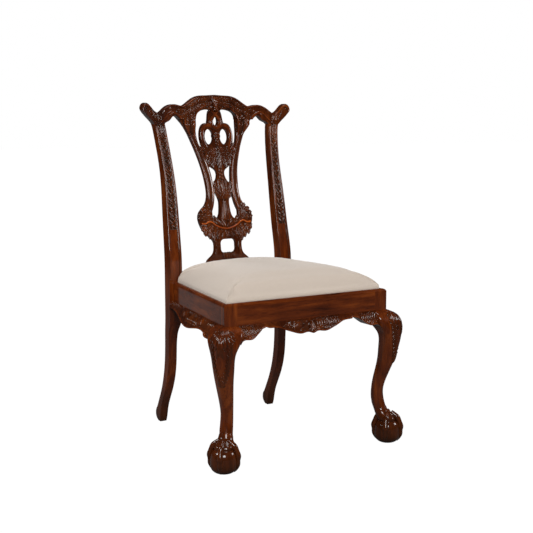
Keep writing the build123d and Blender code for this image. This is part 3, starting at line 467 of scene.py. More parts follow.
def made_materials(looks):
    """Every finish of the chair by its name."""
    linen, gaps = tuple(looks.cover_colour), tuple(looks.cover_shade)
    return {
        "upright": polished_wood("mahogany_upright", "Z", looks),
        "cross": polished_wood("mahogany_cross", "X", looks),
        "deep": polished_wood("mahogany_deep", "Y", looks),
        # Lit and shaded copies: bead and leafage lighter (painted highlight), ground darker (painted shade).
        "bead": polished_wood("mahogany_bead_painted_highlight", "X", looks, lift=2.6),
        "ground": polished_wood("mahogany_ground_painted_shade", "Z", looks, lift=0.55),
        "leafage": polished_wood("mahogany_leafage_painted_highlight", "Z", looks, lift=1.05),
        "plain": plain_wood("planed_wood", looks),
        "cover": woven("seat_linen", linen, 0.0011, gaps, 0.88, 0.0004),
        "webbing": woven("jute_webbing", (0.5, 0.42, 0.29), 0.0024, (0.2, 0.15, 0.09), 0.9, 0.0008),
        "hessian": woven("hessian", (0.46, 0.35, 0.21), 0.0018, (0.16, 0.11, 0.06), 0.95, 0.0006),
        "cambric": woven("black_cambric", (0.02, 0.02, 0.022), 0.0008, (0.008, 0.008, 0.008), 0.9, 0.0002),
        "steel": dull_steel("dull_steel"),
    }


# Surfaces of the frame that carry the carving


CREST_LEAN_SHARE = 0.15  # how far the crest's front leans back for its height
JOINT_LOW, JOINT_HIGH = 902 * MM, 936 * MM  # heights between which the straps pass into the crest
LEG_LOW = 92 * MM  # height at which the leg ends and the foot begins


def spread_lookup(places, values):
    """A function that reads values between measured places."""
    return lambda where: np.interp(where, places, values)


def ray_radii(triangles, level, middle, turns):
    """Distance of a section's farthest wall from its middle in each direction: a ray crosses its segments."""
    segments = crossing(triangles, 2, level)[:, :2].reshape(-1, 2, 2) - middle
    start, step = segments[:, 0], segments[:, 1] - segments[:, 0]
    ray = np.stack([np.cos(turns), np.sin(turns)], axis=1)
    span = ray[:, None, 0] * step[None, :, 1] - ray[:, None, 1] * step[None, :, 0]
    span = np.where(np.abs(span) < 1e-12, 1e-12, span)
    reach = (start[None, :, 0] * step[None, :, 1] - start[None, :, 1] * step[None, :, 0]) / span
    share = (start[None, :, 0] * ray[:, None, 1] - start[None, :, 1] * ray[:, None, 0]) / span
    return np.where((share > -0.001) & (share < 1.001) & (reach > 0), reach, 0).max(1)


class Back:
    """Front faces of the splat and the crest, each as a depth over width and height."""

    def __init__(self):
        splat, crest = node_triangles("back_splat"), node_triangles("crest_rail")
        low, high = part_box("back_splat")
        heights = np.linspace(low.z + 1 * MM, high.z - 1 * MM, 160)
        self.splat_front = spread_lookup(heights, extents(splat, 2, heights, 1)[0])
        self.splat_half = spread_lookup(heights, extents(splat, 2, heights, 0)[1])
        self.crest_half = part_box("crest_rail")[1].x
        widths = np.linspace(-self.crest_half + 0.4 * MM, self.crest_half - 0.4 * MM, 441)
        bottom, top = extents(crest, 0, widths, 2)
        self.crest_bottom, self.crest_top = spread_lookup(widths, bottom), spread_lookup(widths, top)
        self.crest_near = spread_lookup(widths, extents(crest, 0, widths, 1)[0])

    def on_splat(self, across, up, out):
        """Points at a distance out of the splat's front face."""
        return np.stack(np.broadcast_arrays(across, self.splat_front(up) - out, up), axis=-1)

    def on_joint(self, across, up, out):
        """Points out of a cove that carries the splat's face out to the crest's face below the crest."""
        share = np.clip((up - JOINT_LOW) / (JOINT_HIGH - JOINT_LOW), 0, 1)
        share = share * share * (3 - 2 * share)
        up = np.where(up > JOINT_HIGH, np.maximum(up, self.crest_bottom(np.abs(across)) + EDGE_GAP), up)
        depth = self.splat_front(up) * (1 - share) + self.crest_front(across, up) * share
        return np.stack(np.broadcast_arrays(across, depth - out, up), axis=-1)

    def crest_front(self, across, up):
        """Depth of the crest's front face, an arc in plan that leans back with height."""
        return self.crest_near(across) + CREST_LEAN_SHARE * (up - self.crest_bottom(across))

    def on_crest(self, across, up, out):
        """Points out of the crest's front face, held inside its outline."""
        across = np.clip(across, -self.crest_half + 2 * EDGE_GAP, self.crest_half - 2 * EDGE_GAP)
        up = np.clip(up, self.crest_bottom(across) + EDGE_GAP, self.crest_top(across) - EDGE_GAP)
        return np.stack(np.broadcast_arrays(across, self.crest_front(across, up) - out, up), axis=-1)


class Skirt:
    """Swelled faces under the seat rails, as a distance from the rail's face over the drop below the rail."""

    def __init__(self):
        bracket = node_triangles("front_knee_bracket_right")
        bracket_low, bracket_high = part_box("front_knee_bracket_right")
        self.rail_bottom, self.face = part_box("front_apron")[1].z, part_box("front_seat_rail")[0].y
        levels = np.linspace(bracket_low.z + 1 * MM, self.rail_bottom - 0.3 * MM, 40)
        swell = self.face - extents(bracket, 2, levels, 1)[0]
        self.swell = spread_lookup(self.rail_bottom - levels[::-1], swell[::-1])
        widths = np.linspace(0.3 * MM, bracket_high.x - 0.5 * MM, 236)
        both = np.concatenate([node_triangles("front_apron"), bracket])
        self.front_low = spread_lookup(widths, extents(both, 0, widths, 2)[0])

        rail_low, rail_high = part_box("side_rail_right")
        places = np.array([rail_low.y + 60 * MM, rail_high.y - 60 * MM])
        reach = extents(node_triangles("side_rail_right"), 1, places, 0)[1]
        post_front = crossing(node_triangles("rear_leg_right"), 2, self.rail_bottom)[:, 1].min()
        ends = np.array([self.face, post_front])
        lean = (reach[1] - reach[0]) / (places[1] - places[0])
        start, end = np.stack([reach[0] + (ends - places[0]) * lean, ends], axis=1)
        self.side_start, self.side_along = start, (end - start) / np.linalg.norm(end - start)
        self.side_out = np.array([self.side_along[1], -self.side_along[0]])
        flank = [node_triangles(name) for name in ("side_apron_right", "side_knee_bracket_right")]
        flank = np.concatenate(flank)
        along = (flank[..., :2] - start) @ self.side_along
        flank = np.stack([along, along, flank[..., 2]], axis=-1)
        runs = np.linspace(along.min() + 0.5 * MM, along.max() - 0.5 * MM, 360)
        self.side_low = spread_lookup(runs, extents(flank, 0, runs, 2)[0])

    def held(self, up, low):
        """Heights kept between a measured lower edge and the rail."""
        return np.clip(up, low + SKIRT_GAP, self.rail_bottom - SKIRT_GAP)

    def on_front(self, across, up, out):
        """Points out of the front apron's face, held inside its outline."""
        up = self.held(up, self.front_low(np.abs(across)))
        depth = self.face - self.swell(self.rail_bottom - up) - out
        return np.stack(np.broadcast_arrays(across, depth, up), axis=-1)

    def on_side(self, run, up, out):
        """Points out of the right side apron's face, held inside its outline; run starts at the front."""
        run, up, out = np.broadcast_arrays(run, self.held(up, self.side_low(run)), out)
        reach = self.swell(self.rail_bottom - up) + out
        flat = self.side_start + run[..., None] * self.side_along + reach[..., None] * self.side_out
        return np.concatenate([flat, up[..., None]], axis=-1)


class CabrioleLeg:
    """The right front leg's skin, as a radius over height and angle round its middle line."""

    def __init__(self):
        triangles = node_triangles("front_leg_right")
        rail_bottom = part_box("front_seat_rail")[0].z
        self.heights = np.linspace(LEG_LOW, rail_bottom - 0.6 * MM, 110)
        self.turns = np.linspace(-math.pi, math.pi, 181)
        middles, radii = [], []
        for height in self.heights:
            cut = crossing(triangles, 2, height)[:, :2]
            middles.append((cut.min(0) + cut.max(0)) / 2)
            radii.append(ray_radii(triangles, height, middles[-1], self.turns))
        self.middles, self.radii = np.array(middles), np.array(radii)

    def on_leg(self, across, up, out, heading=-math.pi / 4):
        """Points out of the leg's skin: across is an arc length from the ridge at the heading, up a height.

        The radius and the middle are read between the nearest measured heights and angles."""
        across, up, out = np.broadcast_arrays(across, up, out)
        row = (up - self.heights[0]) / (self.heights[1] - self.heights[0])
        row = np.clip(row, 0, len(self.heights) - 1.001)
        low, share = row.astype(int), row % 1
        middle = self.middles[low] * (1 - share[..., None]) + self.middles[low + 1] * share[..., None]
        typical = self.radii.mean(1)
        turn = heading + across / (typical[low] * (1 - share) + typical[low + 1] * share)
        turn = (turn + math.pi) % math.tau - math.pi
        column = (turn - self.turns[0]) / (self.turns[1] - self.turns[0])
        left, part = np.minimum(column.astype(int), len(self.turns) - 2), column % 1
        radius = sum(self.radii[low + i, left + j] * (share if i else 1 - share) * (part if j else 1 - part)
                     for i in (0, 1) for j in (0, 1))
        ray = np.stack([np.cos(turn), np.sin(turn)], axis=-1)
        return np.concatenate([middle + (radius + out)[..., None] * ray, up[..., None]], axis=-1)


# Carving on a surface


def applied(shells, surface, shape, relief, sunk=SUNK):
    """Lays a leaf or a fan on a carrying surface as a closed shell.

    The shape gives plane coordinates, height and recess; its edge stands a little over the wood."""
    across, up, height, recess = shape
    edge = 0.12 * relief
    shells.slab(surface(across, up, edge + height * relief), surface(across, up, -sunk), recess)


def leaves(shells, surface, table, relief, sunk=SUNK):
    """Lays leaves on a surface.

    A row has the root's and the tip's two coordinates, the half width, the bend and the number of lobes."""
    for a0, b0, a1, b1, width, bend, lobes in table:
        long = math.hypot(a1 - a0, b1 - b0)
        rows, columns = int(np.clip(long * 0.8, 16, 60)), int(np.clip(width * 1.6, 9, 31))
        shape = leaf(pairs((a0, b0)), pairs((a1, b1)), width * MM, bend * MM, lobes, rows, columns | 1)
        applied(shells, surface, shape, relief * min(1.0, 0.45 + width / 26), sunk)


BEAD_SIDES = 10
BEAD_FLATNESS = 0.75


def line_tube(shells, surface, places, radius, count, lift):
    """A flattened bead along points on a carrying surface; its radius may change along it."""
    places = smooth_line(places, count)
    radius = spread(np.atleast_1d(radius), count)[:, None]
    square = squares(places)
    turn = np.linspace(0, math.tau, BEAD_SIDES, endpoint=False)
    across = places[:, :1] + square[:, :1] * radius * np.cos(turn)
    up = places[:, 1:] + square[:, 1:] * radius * np.cos(turn)
    shells.tube(surface(across, up, lift + radius * np.sin(turn) * BEAD_FLATNESS))


def scroll(shells, surface, centre, radius, turns, start, hand=1, thick=1.7, lift=1.6):
    """A bead that winds in as a spiral from a radius to a fifth of it; sizes are in millimetres."""
    share = np.linspace(0, 1, 40)
    angle = start + hand * share * turns * math.tau
    reach = (radius * MM * (1 - 0.8 * share))[:, None]
    places = pairs(centre) + reach * np.stack([np.cos(angle), np.sin(angle)], axis=1)
    line_tube(shells, surface, places, thick * MM, 60, lift * MM)


def hollow_section(share):
    """A bead at each edge and a hollow between, over the share of the width; glazing and painted shade in the
    hollow.
    """
    beads = hill(share, 0.14, 0.1) + 0.85 * hill(share, 0.87, 0.09)
    edge = np.clip(np.minimum(share, 1 - share) / 0.05, 0, 1) ** 0.5
    return (0.32 + 0.7 * beads - 0.3 * np.sin(np.pi * share)) * edge, np.clip(0.75 - beads, 0, 1) * 0.55


def round_section(share):
    """A half round over the share of the width, with glazing and painted shade down its flanks."""
    return np.sqrt(np.clip(4 * share * (1 - share), 0, 1)), np.abs(2 * share - 1) ** 4 * 0.8


def ground_section(share):
    """A level ground over the share of the width, with dark glazing and painted shade all over."""
    return np.ones_like(share), np.full_like(share, 0.85)


def strip(shells, surface, first, second, relief, section, columns=19, sunk=SUNK, fades=0.0):
    """A moulding between two edge lines, whose height and recess are a section over the share between them.

    Near its two ends it sinks to nothing over the fades share of its length."""
    share = (1 - np.cos(np.linspace(0, math.pi, columns))) / 2
    plane = first[:, None] * (1 - share)[None, :, None] + second[:, None] * share[None, :, None]
    height, recess = section(share)
    run = np.linspace(0, 1, len(first))
    ends = np.clip(np.minimum(run, 1 - run) / fades, 0, 1) ** 0.5 if fades else np.ones(len(run))
    out = 0.15 * MM + height[None] * ends[:, None] * relief
    across, up = plane[..., 0], plane[..., 1]
    shells.slab(surface(across, up, out), surface(across, up, -sunk), recess)


def band_edges(places, half, count):
    """Two edge lines at a half width either side of a smooth middle line."""
    middle = smooth_line(pairs(places), count)
    reach = squares(middle) * (spread(half, count)[:, None] * MM)
    return middle - reach, middle + reach


# Settings


class ChairFinishSettings(bpy.types.PropertyGroup):
    """Colours and gloss of the wood and the fabric."""

    wood_dark: bpy.props.FloatVectorProperty(
        name="Dark grain", description="Darkest colour of the polished wood's figure",
        default=(0.026, 0.0042, 0.001), size=3, subtype="COLOR", min=0, max=1)
    wood_middle: bpy.props.FloatVectorProperty(
        name="Wood", description="Usual colour of the polished wood",
        default=(0.108, 0.019, 0.0028), size=3, subtype="COLOR", min=0, max=1)
    wood_light: bpy.props.FloatVectorProperty(
        name="Light grain", description="Lightest colour of the polished wood's figure",
        default=(0.25, 0.055, 0.0075), size=3, subtype="COLOR", min=0, max=1)
    # Dark colour of the glazing and the painted shade in the cuts, and of the painted shade near the floor.
    glaze_and_shade_colour: bpy.props.FloatVectorProperty(
        name="Glaze", description="Colour of the dark glaze that lies in the cuts of the carving",
        default=(0.02, 0.0078, 0.002), size=3, subtype="COLOR", min=0, max=1)
    # How far the cuts take the colour of the glazing and the painted shade.
    glaze_and_shade: bpy.props.FloatProperty(
        name="Glaze strength", description="How far the glaze covers the deepest cuts",
        default=1.0, min=0, max=1, subtype="FACTOR")
    polish: bpy.props.FloatProperty(
        name="Polish", description="Roughness of the wood between its pores",
        default=0.2, min=0.02, max=1, subtype="FACTOR")
    grain_stretch: bpy.props.FloatProperty(
        name="Grain length", description="Scale of the grain along the wood beside its scale across it",
        default=0.09, min=0.01, max=1)
    block_colour: bpy.props.FloatVectorProperty(
        name="Planed wood", description="Colour of the unpolished blocks and the seat's frame",
        default=(0.52, 0.37, 0.22), size=3, subtype="COLOR", min=0, max=1)
    cover_colour: bpy.props.FloatVectorProperty(
        name="Seat fabric", description="Colour of the seat's fabric",
        default=(0.6, 0.51, 0.435), size=3, subtype="COLOR", min=0, max=1)
    cover_shade: bpy.props.FloatVectorProperty(
        name="Fabric gaps", description="Colour between the threads of the seat's fabric",
        default=(0.4, 0.325, 0.25), size=3, subtype="COLOR", min=0, max=1)


class ChairCarvingSettings(bpy.types.PropertyGroup):
    """Depths of the carving."""

    leaf_relief: bpy.props.FloatProperty(
        name="Leaf relief", description="Height of the leaves of the back over the wood they are cut from",
        default=4.4 * MM, min=0.5 * MM, max=8 * MM, unit="LENGTH")
    strap_relief: bpy.props.FloatProperty(
        name="Strap relief", description="Height of the mouldings along the straps and the top rail",
        default=2.2 * MM, min=0.5 * MM, max=6 * MM, unit="LENGTH")
    strip_relief: bpy.props.FloatProperty(
        name="Post relief", description="Height of the running leaves of the posts",
        default=1.9 * MM, min=0.5 * MM, max=5 * MM, unit="LENGTH")
    knee_relief: bpy.props.FloatProperty(
        name="Knee relief", description="Height of the leaf of the knees",
        default=3.4 * MM, min=0.5 * MM, max=8 * MM, unit="LENGTH")
    shell_relief: bpy.props.FloatProperty(
        name="Shell relief", description="Height of the shells under the seat rails",
        default=2.6 * MM, min=0.5 * MM, max=8 * MM, unit="LENGTH")


class ChairSeatSettings(bpy.types.PropertyGroup):
    """Shape of the seat."""

    pressure: bpy.props.FloatProperty(
        name="Stuffing pressure", description="Pressure that fills the cover in the cloth simulation",
        default=3.2, min=0, max=10)
    swell: bpy.props.FloatProperty(
        name="Swell limit", description="How far the simulation may move the cover",
        default=9 * MM, min=0, max=30 * MM, unit="LENGTH")


class ChairStageSettings(bpy.types.PropertyGroup):
    """Camera, lamps and floor."""

    azimuth: bpy.props.FloatProperty(
        name="View angle", description="Turn of the camera round the chair from its front",
        default=math.radians(-31.158), subtype="ANGLE")
    elevation: bpy.props.FloatProperty(
        name="View height", description="Angle of the camera over the horizon",
        default=math.radians(8.053), subtype="ANGLE")
    distance: bpy.props.FloatProperty(
        name="View distance", description="Distance of the camera from its target",
        default=3.224937, min=0.5, unit="LENGTH")
    lens: bpy.props.FloatProperty(
        name="Focal length", description="Focal length for a sensor 36 mm wide", default=72.66, min=10)
    lamp: bpy.props.FloatProperty(
        name="Lamp strength", description="Power of which each lamp takes its share",
        default=70.0, min=0, unit="POWER")
    surround: bpy.props.FloatProperty(
        name="Surround light", description="Strength of the white surroundings on the chair",
        default=0.025, min=0, max=2)


SETTINGS = (
    ("finish", ChairFinishSettings, "Finishes"),
    ("carving", ChairCarvingSettings, "Carving"),
    ("seat", ChairSeatSettings, "Seat"),
    ("stage", ChairStageSettings, "Stage"),
)
FINISHES = {}


def settings(group):
    return getattr(bpy.context.scene, "chair_" + group)


def finish_of(name):
    """A finish of the chair by its name; all of them are made when the first is asked for."""
    if not FINISHES:
        FINISHES.update(made_materials(settings("finish")))
    return FINISHES[name]


# Wood and fixings of the frame

NODE_FINISHES = {
    "upright": ["rear_leg_left", "rear_leg_right", "front_leg_left", "front_leg_right"],
    # These nodes take the darker copy of the wood, a painted shade.
    "ground": ["back_splat", "crest_rail", "front_apron", "side_apron_left", "side_apron_right",
               "front_knee_bracket_left", "front_knee_bracket_right", "side_knee_bracket_left",
               "side_knee_bracket_right"],
    "cross": ["front_seat_rail", "rear_seat_rail", "splat_shoe", "crest_dowels"],
    "deep": ["side_rail_left", "side_rail_right"],
    "plain": ["front_corner_block_left", "front_corner_block_right", "rear_corner_block_left",
              "rear_corner_block_right", "seat_frame_back", "seat_frame_front", "seat_frame_side_left",
              "seat_frame_side_right"],
    "steel": ["corner_block_screws", "cover_tacks"],
    "cover": ["seat_cover", "seat_pad"],
    "webbing": ["seat_webbing"],
    "hessian": ["seat_hessian"],
    "cambric": ["dust_cover"],
}


class CHAIR_OT_polish_frame(bpy.types.Operator):
    """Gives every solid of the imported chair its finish"""

    bl_idname = "chair.polish_frame"
    bl_label = "Polish the frame"

    def execute(self, context):
        for finish, names in NODE_FINISHES.items():
            for name in names:
                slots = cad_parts[name].data.materials
                slots.clear()
                slots.append(finish_of(finish))
        return {"FINISHED"}


# Carving of the back


STRAP_INNER = [
    (75, 936), (73, 900), (66, 872), (54, 843), (43, 815), (37, 790), (34, 770), (32.6, 740), (32.6, 720),
    (35.6, 700), (41.5, 680), (49, 664),
]
STRAP_OUTER = [
    (128, 950), (108, 922), (96, 897), (85, 870), (75.5, 840), (66.5, 810), (60, 780), (56.8, 755),
    (56.4, 740), (56.4, 722), (60.4, 700), (80, 670),
]
HEART_LINE = [(4, 922), (20, 931), (35, 931), (47, 921), (51, 905), (50, 890), (45, 874), (38, 860)]
LOOP_LINE = [
    (34, 991), (18, 982), (2, 968), (-9, 957), (-16, 944), (-12, 930), (0, 923), (12, 930), (16, 944),
    (9, 957), (-2, 968), (-18, 982), (-34, 991),
]
BEAD_LINE = [
    (-88, 629), (-75, 628), (-62, 634), (-50, 631), (-38, 622), (-20, 614), (0, 611), (20, 614), (38, 622),
    (50, 631), (62, 634), (75, 628), (88, 629),
]
SPLAT_LEAVES = [
    (3, 860, 60, 864, 8, -5, 4), (6, 850, 56, 846, 7, 3, 4), (2, 862, 30, 838, 11, 4, 3),
    (2, 860, 42, 826, 13, 6, 5), (2, 852, 37, 810, 12, 7, 5), (1, 846, 22, 801, 10, 4, 4),
    (2, 708, 27, 757, 8, -5, 5), (1, 702, 28, 736, 8, -5, 4), (1, 700, 24, 718, 7, -4, 3),
    (0, 704, 12, 762, 7, -2, 4), (58, 690, 86, 662, 9, -7, 4), (54, 682, 90, 648, 9, -10, 5),
    (56, 672, 72, 642, 9, -6, 4), (50, 676, 48, 646, 7, 4, 4), (10, 618, 40, 652, 8, -6, 4),
    (30, 622, 60, 650, 7, -5, 4), (54, 634, 88, 642, 6, 3, 4), (2, 616, 16, 640, 6, -2, 3),
    (72, 626, 88, 606, 7, 4, 4), (66, 628, 76, 590, 10, 5, 5), (50, 626, 62, 582, 11, 5, 5),
    (34, 618, 50, 572, 11, 5, 5), (18, 610, 32, 580, 9, 5, 4), (4, 607, 16, 582, 7, 3, 4),
    (46, 582, 40, 550, 7, -3, 4), (38, 556, 44, 524, 6, 3, 4),
]
MIDDLE_LEAVES = [(0, 866, 0, 797, 13, 0, 4), (0, 700, 0, 760, 8, 0, 4), (0, 606, 0, 581, 8, 0, 3)]
FRINGE_HEIGHTS = (588, 600, 612, 622, 644, 656, 668, 680)
FRINGE_LEAVES = [
    (8.5, 512, 8.5, 528.5, 5, 0, 1), (17, 512, 17, 528.5, 5, 0, 1), (58, 868, 64, 846, 6, -3, 2),
    (46, 866, 60, 872, 5, 2, 2), (40, 850, 53, 830, 6, -3, 2), (30, 826, 40, 806, 5, -2, 2),
]
SCROLLS = (((78, 668), 8.5, 0.4), ((54, 860), 6.0, 1.2), ((80, 612), 6.5, 5.2))
TWIST_PITCH = 11.0
OUTER_JOINT = [(92, 898), (100, 913), (109, 928), (119, 945), (132, 960), (148, 970), (164, 966)]
INNER_JOINT = [(79, 900), (79.5, 922), (78, 942), (73, 960), (63, 975), (48, 988), (28, 996)]
JOINT_LEAVES = [
    (86, 908, 82, 950, 6.5, 3, 4), (94, 910, 106, 952, 7.5, -3, 4), (88, 904, 92, 966, 7.0, 2, 5),
    (98, 936, 128, 962, 6.5, 4, 4), (84, 936, 66, 968, 6.5, -4, 4),
]


class CHAIR_OT_carve_splat(bpy.types.Operator):
    """Carves the straps, rings, leaves and bead of the splat"""

    bl_idname = "chair.carve_splat"
    bl_label = "Carve the splat"

    def execute(self, context):
        depth = settings("carving")
        back = Back()
        self.straps(back, depth.strap_relief)
        self.foliage(back, depth.leaf_relief)
        self.fringe(back, depth.leaf_relief)
        self.joints(back, depth)
        bead = Shells()
        line_tube(bead, back.on_splat, pairs(BEAD_LINE), 2.5 * MM, 160, 1.2 * MM)
        bead.carve("splat_bead", "bead")
        return {"FINISHED"}

    def straps(self, back, relief):
        """The hollowed straps, the heart between them and the loop that passes up into the crest."""
        shells = Shells()
        inner, outer = (smooth_line(pairs(line), 120) for line in (STRAP_INNER, STRAP_OUTER))
        strip(shells, back.on_splat, inner, outer, relief, hollow_section, 31)
        heart = band_edges(HEART_LINE, (6.2, 7, 6.6, 6.4, 6.0), 70)
        strip(shells, back.on_splat, *heart, relief * 1.1, round_section, fades=0.05)
        shells.mirrored()
        loop = band_edges(LOOP_LINE, (4.6, 5.2, 6.4, 6.8, 6.4, 5.2, 4.6), 130)
        strip(shells, back.on_splat, *loop, relief * 1.5, round_section, fades=0.04)
        shells.carve("splat_straps", "upright")

    def foliage(self, back, relief):
        """The leaves, the flutes over the basket, the flower and the two rope stems."""
        shells = Shells()
        leaves(shells, back.on_splat, SPLAT_LEAVES, relief)
        flutes = fan(pairs((0, 722)), 92 * MM, math.pi - 0.24, math.pi - 0.004, 3, 0.25, 30)
        applied(shells, back.on_splat, flutes, relief * 0.8)
        shells.mirrored()
        leaves(shells, back.on_splat, MIDDLE_LEAVES, relief * 1.25)
        flower = fan(pairs((0, 898)), 13 * MM, 0, math.tau * 0.999, 6, 0.1, 14)
        applied(shells, back.on_splat, flower, relief * 1.3)
        self.twist(shells, back, 763, 799, 7.6, relief)
        self.twist(shells, back, 866, 888, 5.5, relief * 0.9)
        shells.carve("splat_foliage")

    def twist(self, shells, back, low, high, half, relief):
        """A rope stem: a half round whose height swells with the sine of height plus sideways place."""
        side = np.linspace(-1, 1, 17)[None]
        up = np.linspace(low, high, 48)[:, None]
        turn = np.abs(np.sin((up - low) / TWIST_PITCH * math.pi + side * 1.4))
        out = relief * (0.1 + np.sqrt(1 - side ** 2) * (0.35 + 0.65 * turn ** 0.7))
        across, up = np.broadcast_arrays(half * side * MM, up * MM)
        shells.slab(back.on_splat(across, up, out), back.on_splat(across, up, -SUNK), 1 - turn)

    def fringe(self, back, relief):
        """Leaflets along the splat's outline, round the scrolled ends, the basket and the window's sill."""
        table = []
        for up in FRINGE_HEIGHTS:
            half, rise = back.splat_half(up * MM) / MM, 1 if up > 632 else -1
            table.append((half - 15, up - 5 * rise, half - 1.6, up + 4 * rise, 7.0, 0, 2))
        shells = Shells()
        leaves(shells, back.on_splat, table + FRINGE_LEAVES, relief * 1.25)
        for centre, radius, start in SCROLLS:
            scroll(shells, back.on_splat, centre, radius, 1.4, start, thick=2.1, lift=2.2)
        shells.mirrored()
        leaves(shells, back.on_splat, [(0, 512, 0, 529, 5.0, 0, 1)], relief)
        shells.carve("splat_fringe")

    def joints(self, back, depth):
        """Coves, mouldings and leaves that carry the straps up into the crest."""
        shells = Shells()
        run = np.linspace(JOINT_LOW, JOINT_HIGH + 1 * MM, 16)
        edges = []
        for line, inset in ((STRAP_INNER, EDGE_GAP), (STRAP_OUTER, -EDGE_GAP)):
            rising = pairs(line[::-1])
            edges.append(np.stack([np.interp(run, rising[:, 1], rising[:, 0]) + inset, run], axis=1))
        strip(shells, back.on_joint, *edges, 0.3 * MM, ground_section, 15, JOINT_SUNK)
        for line in (OUTER_JOINT, INNER_JOINT):
            edges = band_edges(line, (3.4, 4.6, 4.8, 4.4, 2.6), 60)
            relief = depth.strap_relief * 1.3
            strip(shells, back.on_joint, *edges, relief, round_section, 13, JOINT_SUNK, fades=0.06)
        leaves(shells, back.on_joint, JOINT_LEAVES, depth.leaf_relief, JOINT_SUNK)
        shells.mirrored().carve("strap_joints")


CREST_LEAVES = [
    (6, 1018, 66, 1012, 9, -3, 6), (4, 1004, 62, 996, 10, -4, 6), (10, 992, 52, 976, 8, -5, 4),
    (54, 1014, 104, 990, 9, -4, 5), (50, 998, 98, 974, 10, -5, 6), (40, 984, 60, 962, 6, -4, 3),
    (58, 978, 72, 950, 6, -3, 3), (88, 984, 124, 962, 9, -4, 5), (84, 968, 108, 946, 8, -4, 4),
    (108, 978, 140, 972, 7, 4, 4), (68, 966, 84, 936, 7, -3, 4), (112, 990, 132, 996, 4, 2, 3),
    (206, 966, 184, 980, 5, 3, 4), (176, 984, 160, 989, 3.5, 2, 3), (206, 940, 222, 974, 8, 4, 4),
    (214, 944, 240, 980, 8, 5, 5), (216, 956, 250, 984, 6, 5, 4), (200, 944, 204, 964, 6, 2, 4),
]
CREST_RIM = [
    (58, 1021.5), (80, 1014), (100, 1001), (118, 992.5), (135, 995.8), (160, 996.2), (187, 984),
    (204, 971.5),
]
EAR_RIM = [(208, 969), (222, 977), (236, 992), (250, 999), (262, 985), (255, 970), (240, 955), (224, 939)]
HUMP_LINE = [(128, 953), (140, 965), (156, 972), (172, 965), (186, 950), (200, 938)]
# Each rim's line, its half width, how far its middle lies under the line, and its relief.
RIMS = ((CREST_RIM, 3.4, 3.4, 1.6), (EAR_RIM, 4.2, 4.2, 1.5), (HUMP_LINE, 3.2, -1.92, 1.0))


class CHAIR_OT_carve_crest(bpy.types.Operator):
    """Carves the leaves, the rims and the ears of the top rail"""

    bl_idname = "chair.carve_crest"
    bl_label = "Carve the top rail"

    def execute(self, context):
        depth = settings("carving")
        back = Back()
        rims = Shells()
        for line, width, drop, relief in RIMS:
            inward = np.array(line, float) - [0, drop]
            edges = band_edges(inward, (width * 0.5, width, width, width * 0.6), 90)
            strip(rims, back.on_crest, *edges, depth.strap_relief * relief, round_section, 13, fades=0.08)
        rims.mirrored().carve("crest_rims", "cross")

        foliage = Shells()
        leaves(foliage, back.on_crest, CREST_LEAVES, depth.leaf_relief)
        foliage.mirrored()
        shell = fan(pairs((0, 976)), 49 * MM, -0.36, 0.36, 5, 0.18, 26)
        applied(foliage, back.on_crest, shell, depth.leaf_relief * 1.3)
        leaves(foliage, back.on_crest, [(0, 1000, 0, 966, 9, 0, 4)], depth.leaf_relief * 1.6)
        foliage.carve("crest_foliage")
        return {"FINISHED"}


POST_STRIP = (618.0, 936.0)  # heights of the running leaves' lower and upper end
POST_PLANE = 20.0 * MM  # half width of the plane on which the running leaves are drawn
STEM_WAVE = 44.0  # height of one wave of the running stem
POST_TOP_LEAVES = [
    (0, 898, -10, 912, 4.5, 2, 3), (0, 898, 10, 912, 4.5, -2, 3), (0, 900, -7, 932, 5, 2, 4),
    (0, 900, 7, 932, 5, -2, 4), (0, 896, 0, 934, 5, 0, 4),
]


def upright_edges(shares, up):
    """Two upright lines at shares of the post's width."""
    return [np.stack([np.full(len(up), share), up], axis=1) for share in shares]


class CHAIR_OT_carve_posts(bpy.types.Operator):
    """Lays the rounded borders and the running leaves on the fronts of the posts"""

    bl_idname = "chair.carve_posts"
    bl_label = "Carve the posts"

    def execute(self, context):
        relief = settings("carving").strip_relief
        post = node_triangles("rear_leg_right")
        post_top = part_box("rear_leg_right")[1].z
        heights = np.linspace(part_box("seat_cover")[0].z + 20 * MM, post_top - 2 * MM, 90)
        near = extents(post, 2, heights, 1)[0]
        inner, outer = extents(post, 2, heights, 0)

        def surface(across, up, out):
            """The front of the right post: across from -1 at its inner edge to 1 at its outer edge."""
            left, right = np.interp(up, heights, inner), np.interp(up, heights, outer)
            middle, half = (left + right) / 2, (right - left) / 2
            depth = np.interp(up, heights, near) - out
            return np.stack(np.broadcast_arrays(middle + half * across, depth, up), axis=-1)

        def plane(across, up, out):
            """The post's front for a plane in metres, so that leaves keep their shape."""
            return surface(across / POST_PLANE, up, out)

        borders = Shells()
        up = np.linspace(heights[0], post_top - 3 * MM, 120)
        for shares in ((-0.97, -0.56), (0.56, 0.97)):
            strip(borders, surface, *upright_edges(shares, up), relief * 1.15, round_section, 11)
        borders.carve_pair("post_borders", "upright")

        running = Shells()
        ground = upright_edges((-0.55, 0.55), np.linspace(POST_STRIP[0] * MM, POST_STRIP[1] * MM, 120))
        strip(running, surface, *ground, 0.2 * MM, ground_section, 5, fades=0.02)
        up = np.linspace(*POST_STRIP, 200)
        stem = np.stack([0.2 * np.sin(math.tau * up * (1 / STEM_WAVE)) * POST_PLANE, up * MM], axis=1)
        edges = [stem + [reach * MM, 0] for reach in (-1.3, 1.3)]
        strip(running, plane, *edges, relief, round_section, 9)
        table = []
        for number, place in enumerate(np.arange(POST_STRIP[0] + 6, POST_STRIP[1] - 40, STEM_WAVE / 4)):
            side = 1 if number % 2 else -1
            table.append((side * 0.5, place, side * 9.6, place + 15, 4.6, -side * 3, 3))
            table.append((side * 2.0, place + 2, side * -7, place + 12, 3.4, side * 1.5, 2))
        leaves(running, plane, table + POST_TOP_LEAVES, relief * 2.2)
        running.carve_pair("post_foliage")
        return {"FINISHED"}


# Carving under the seat


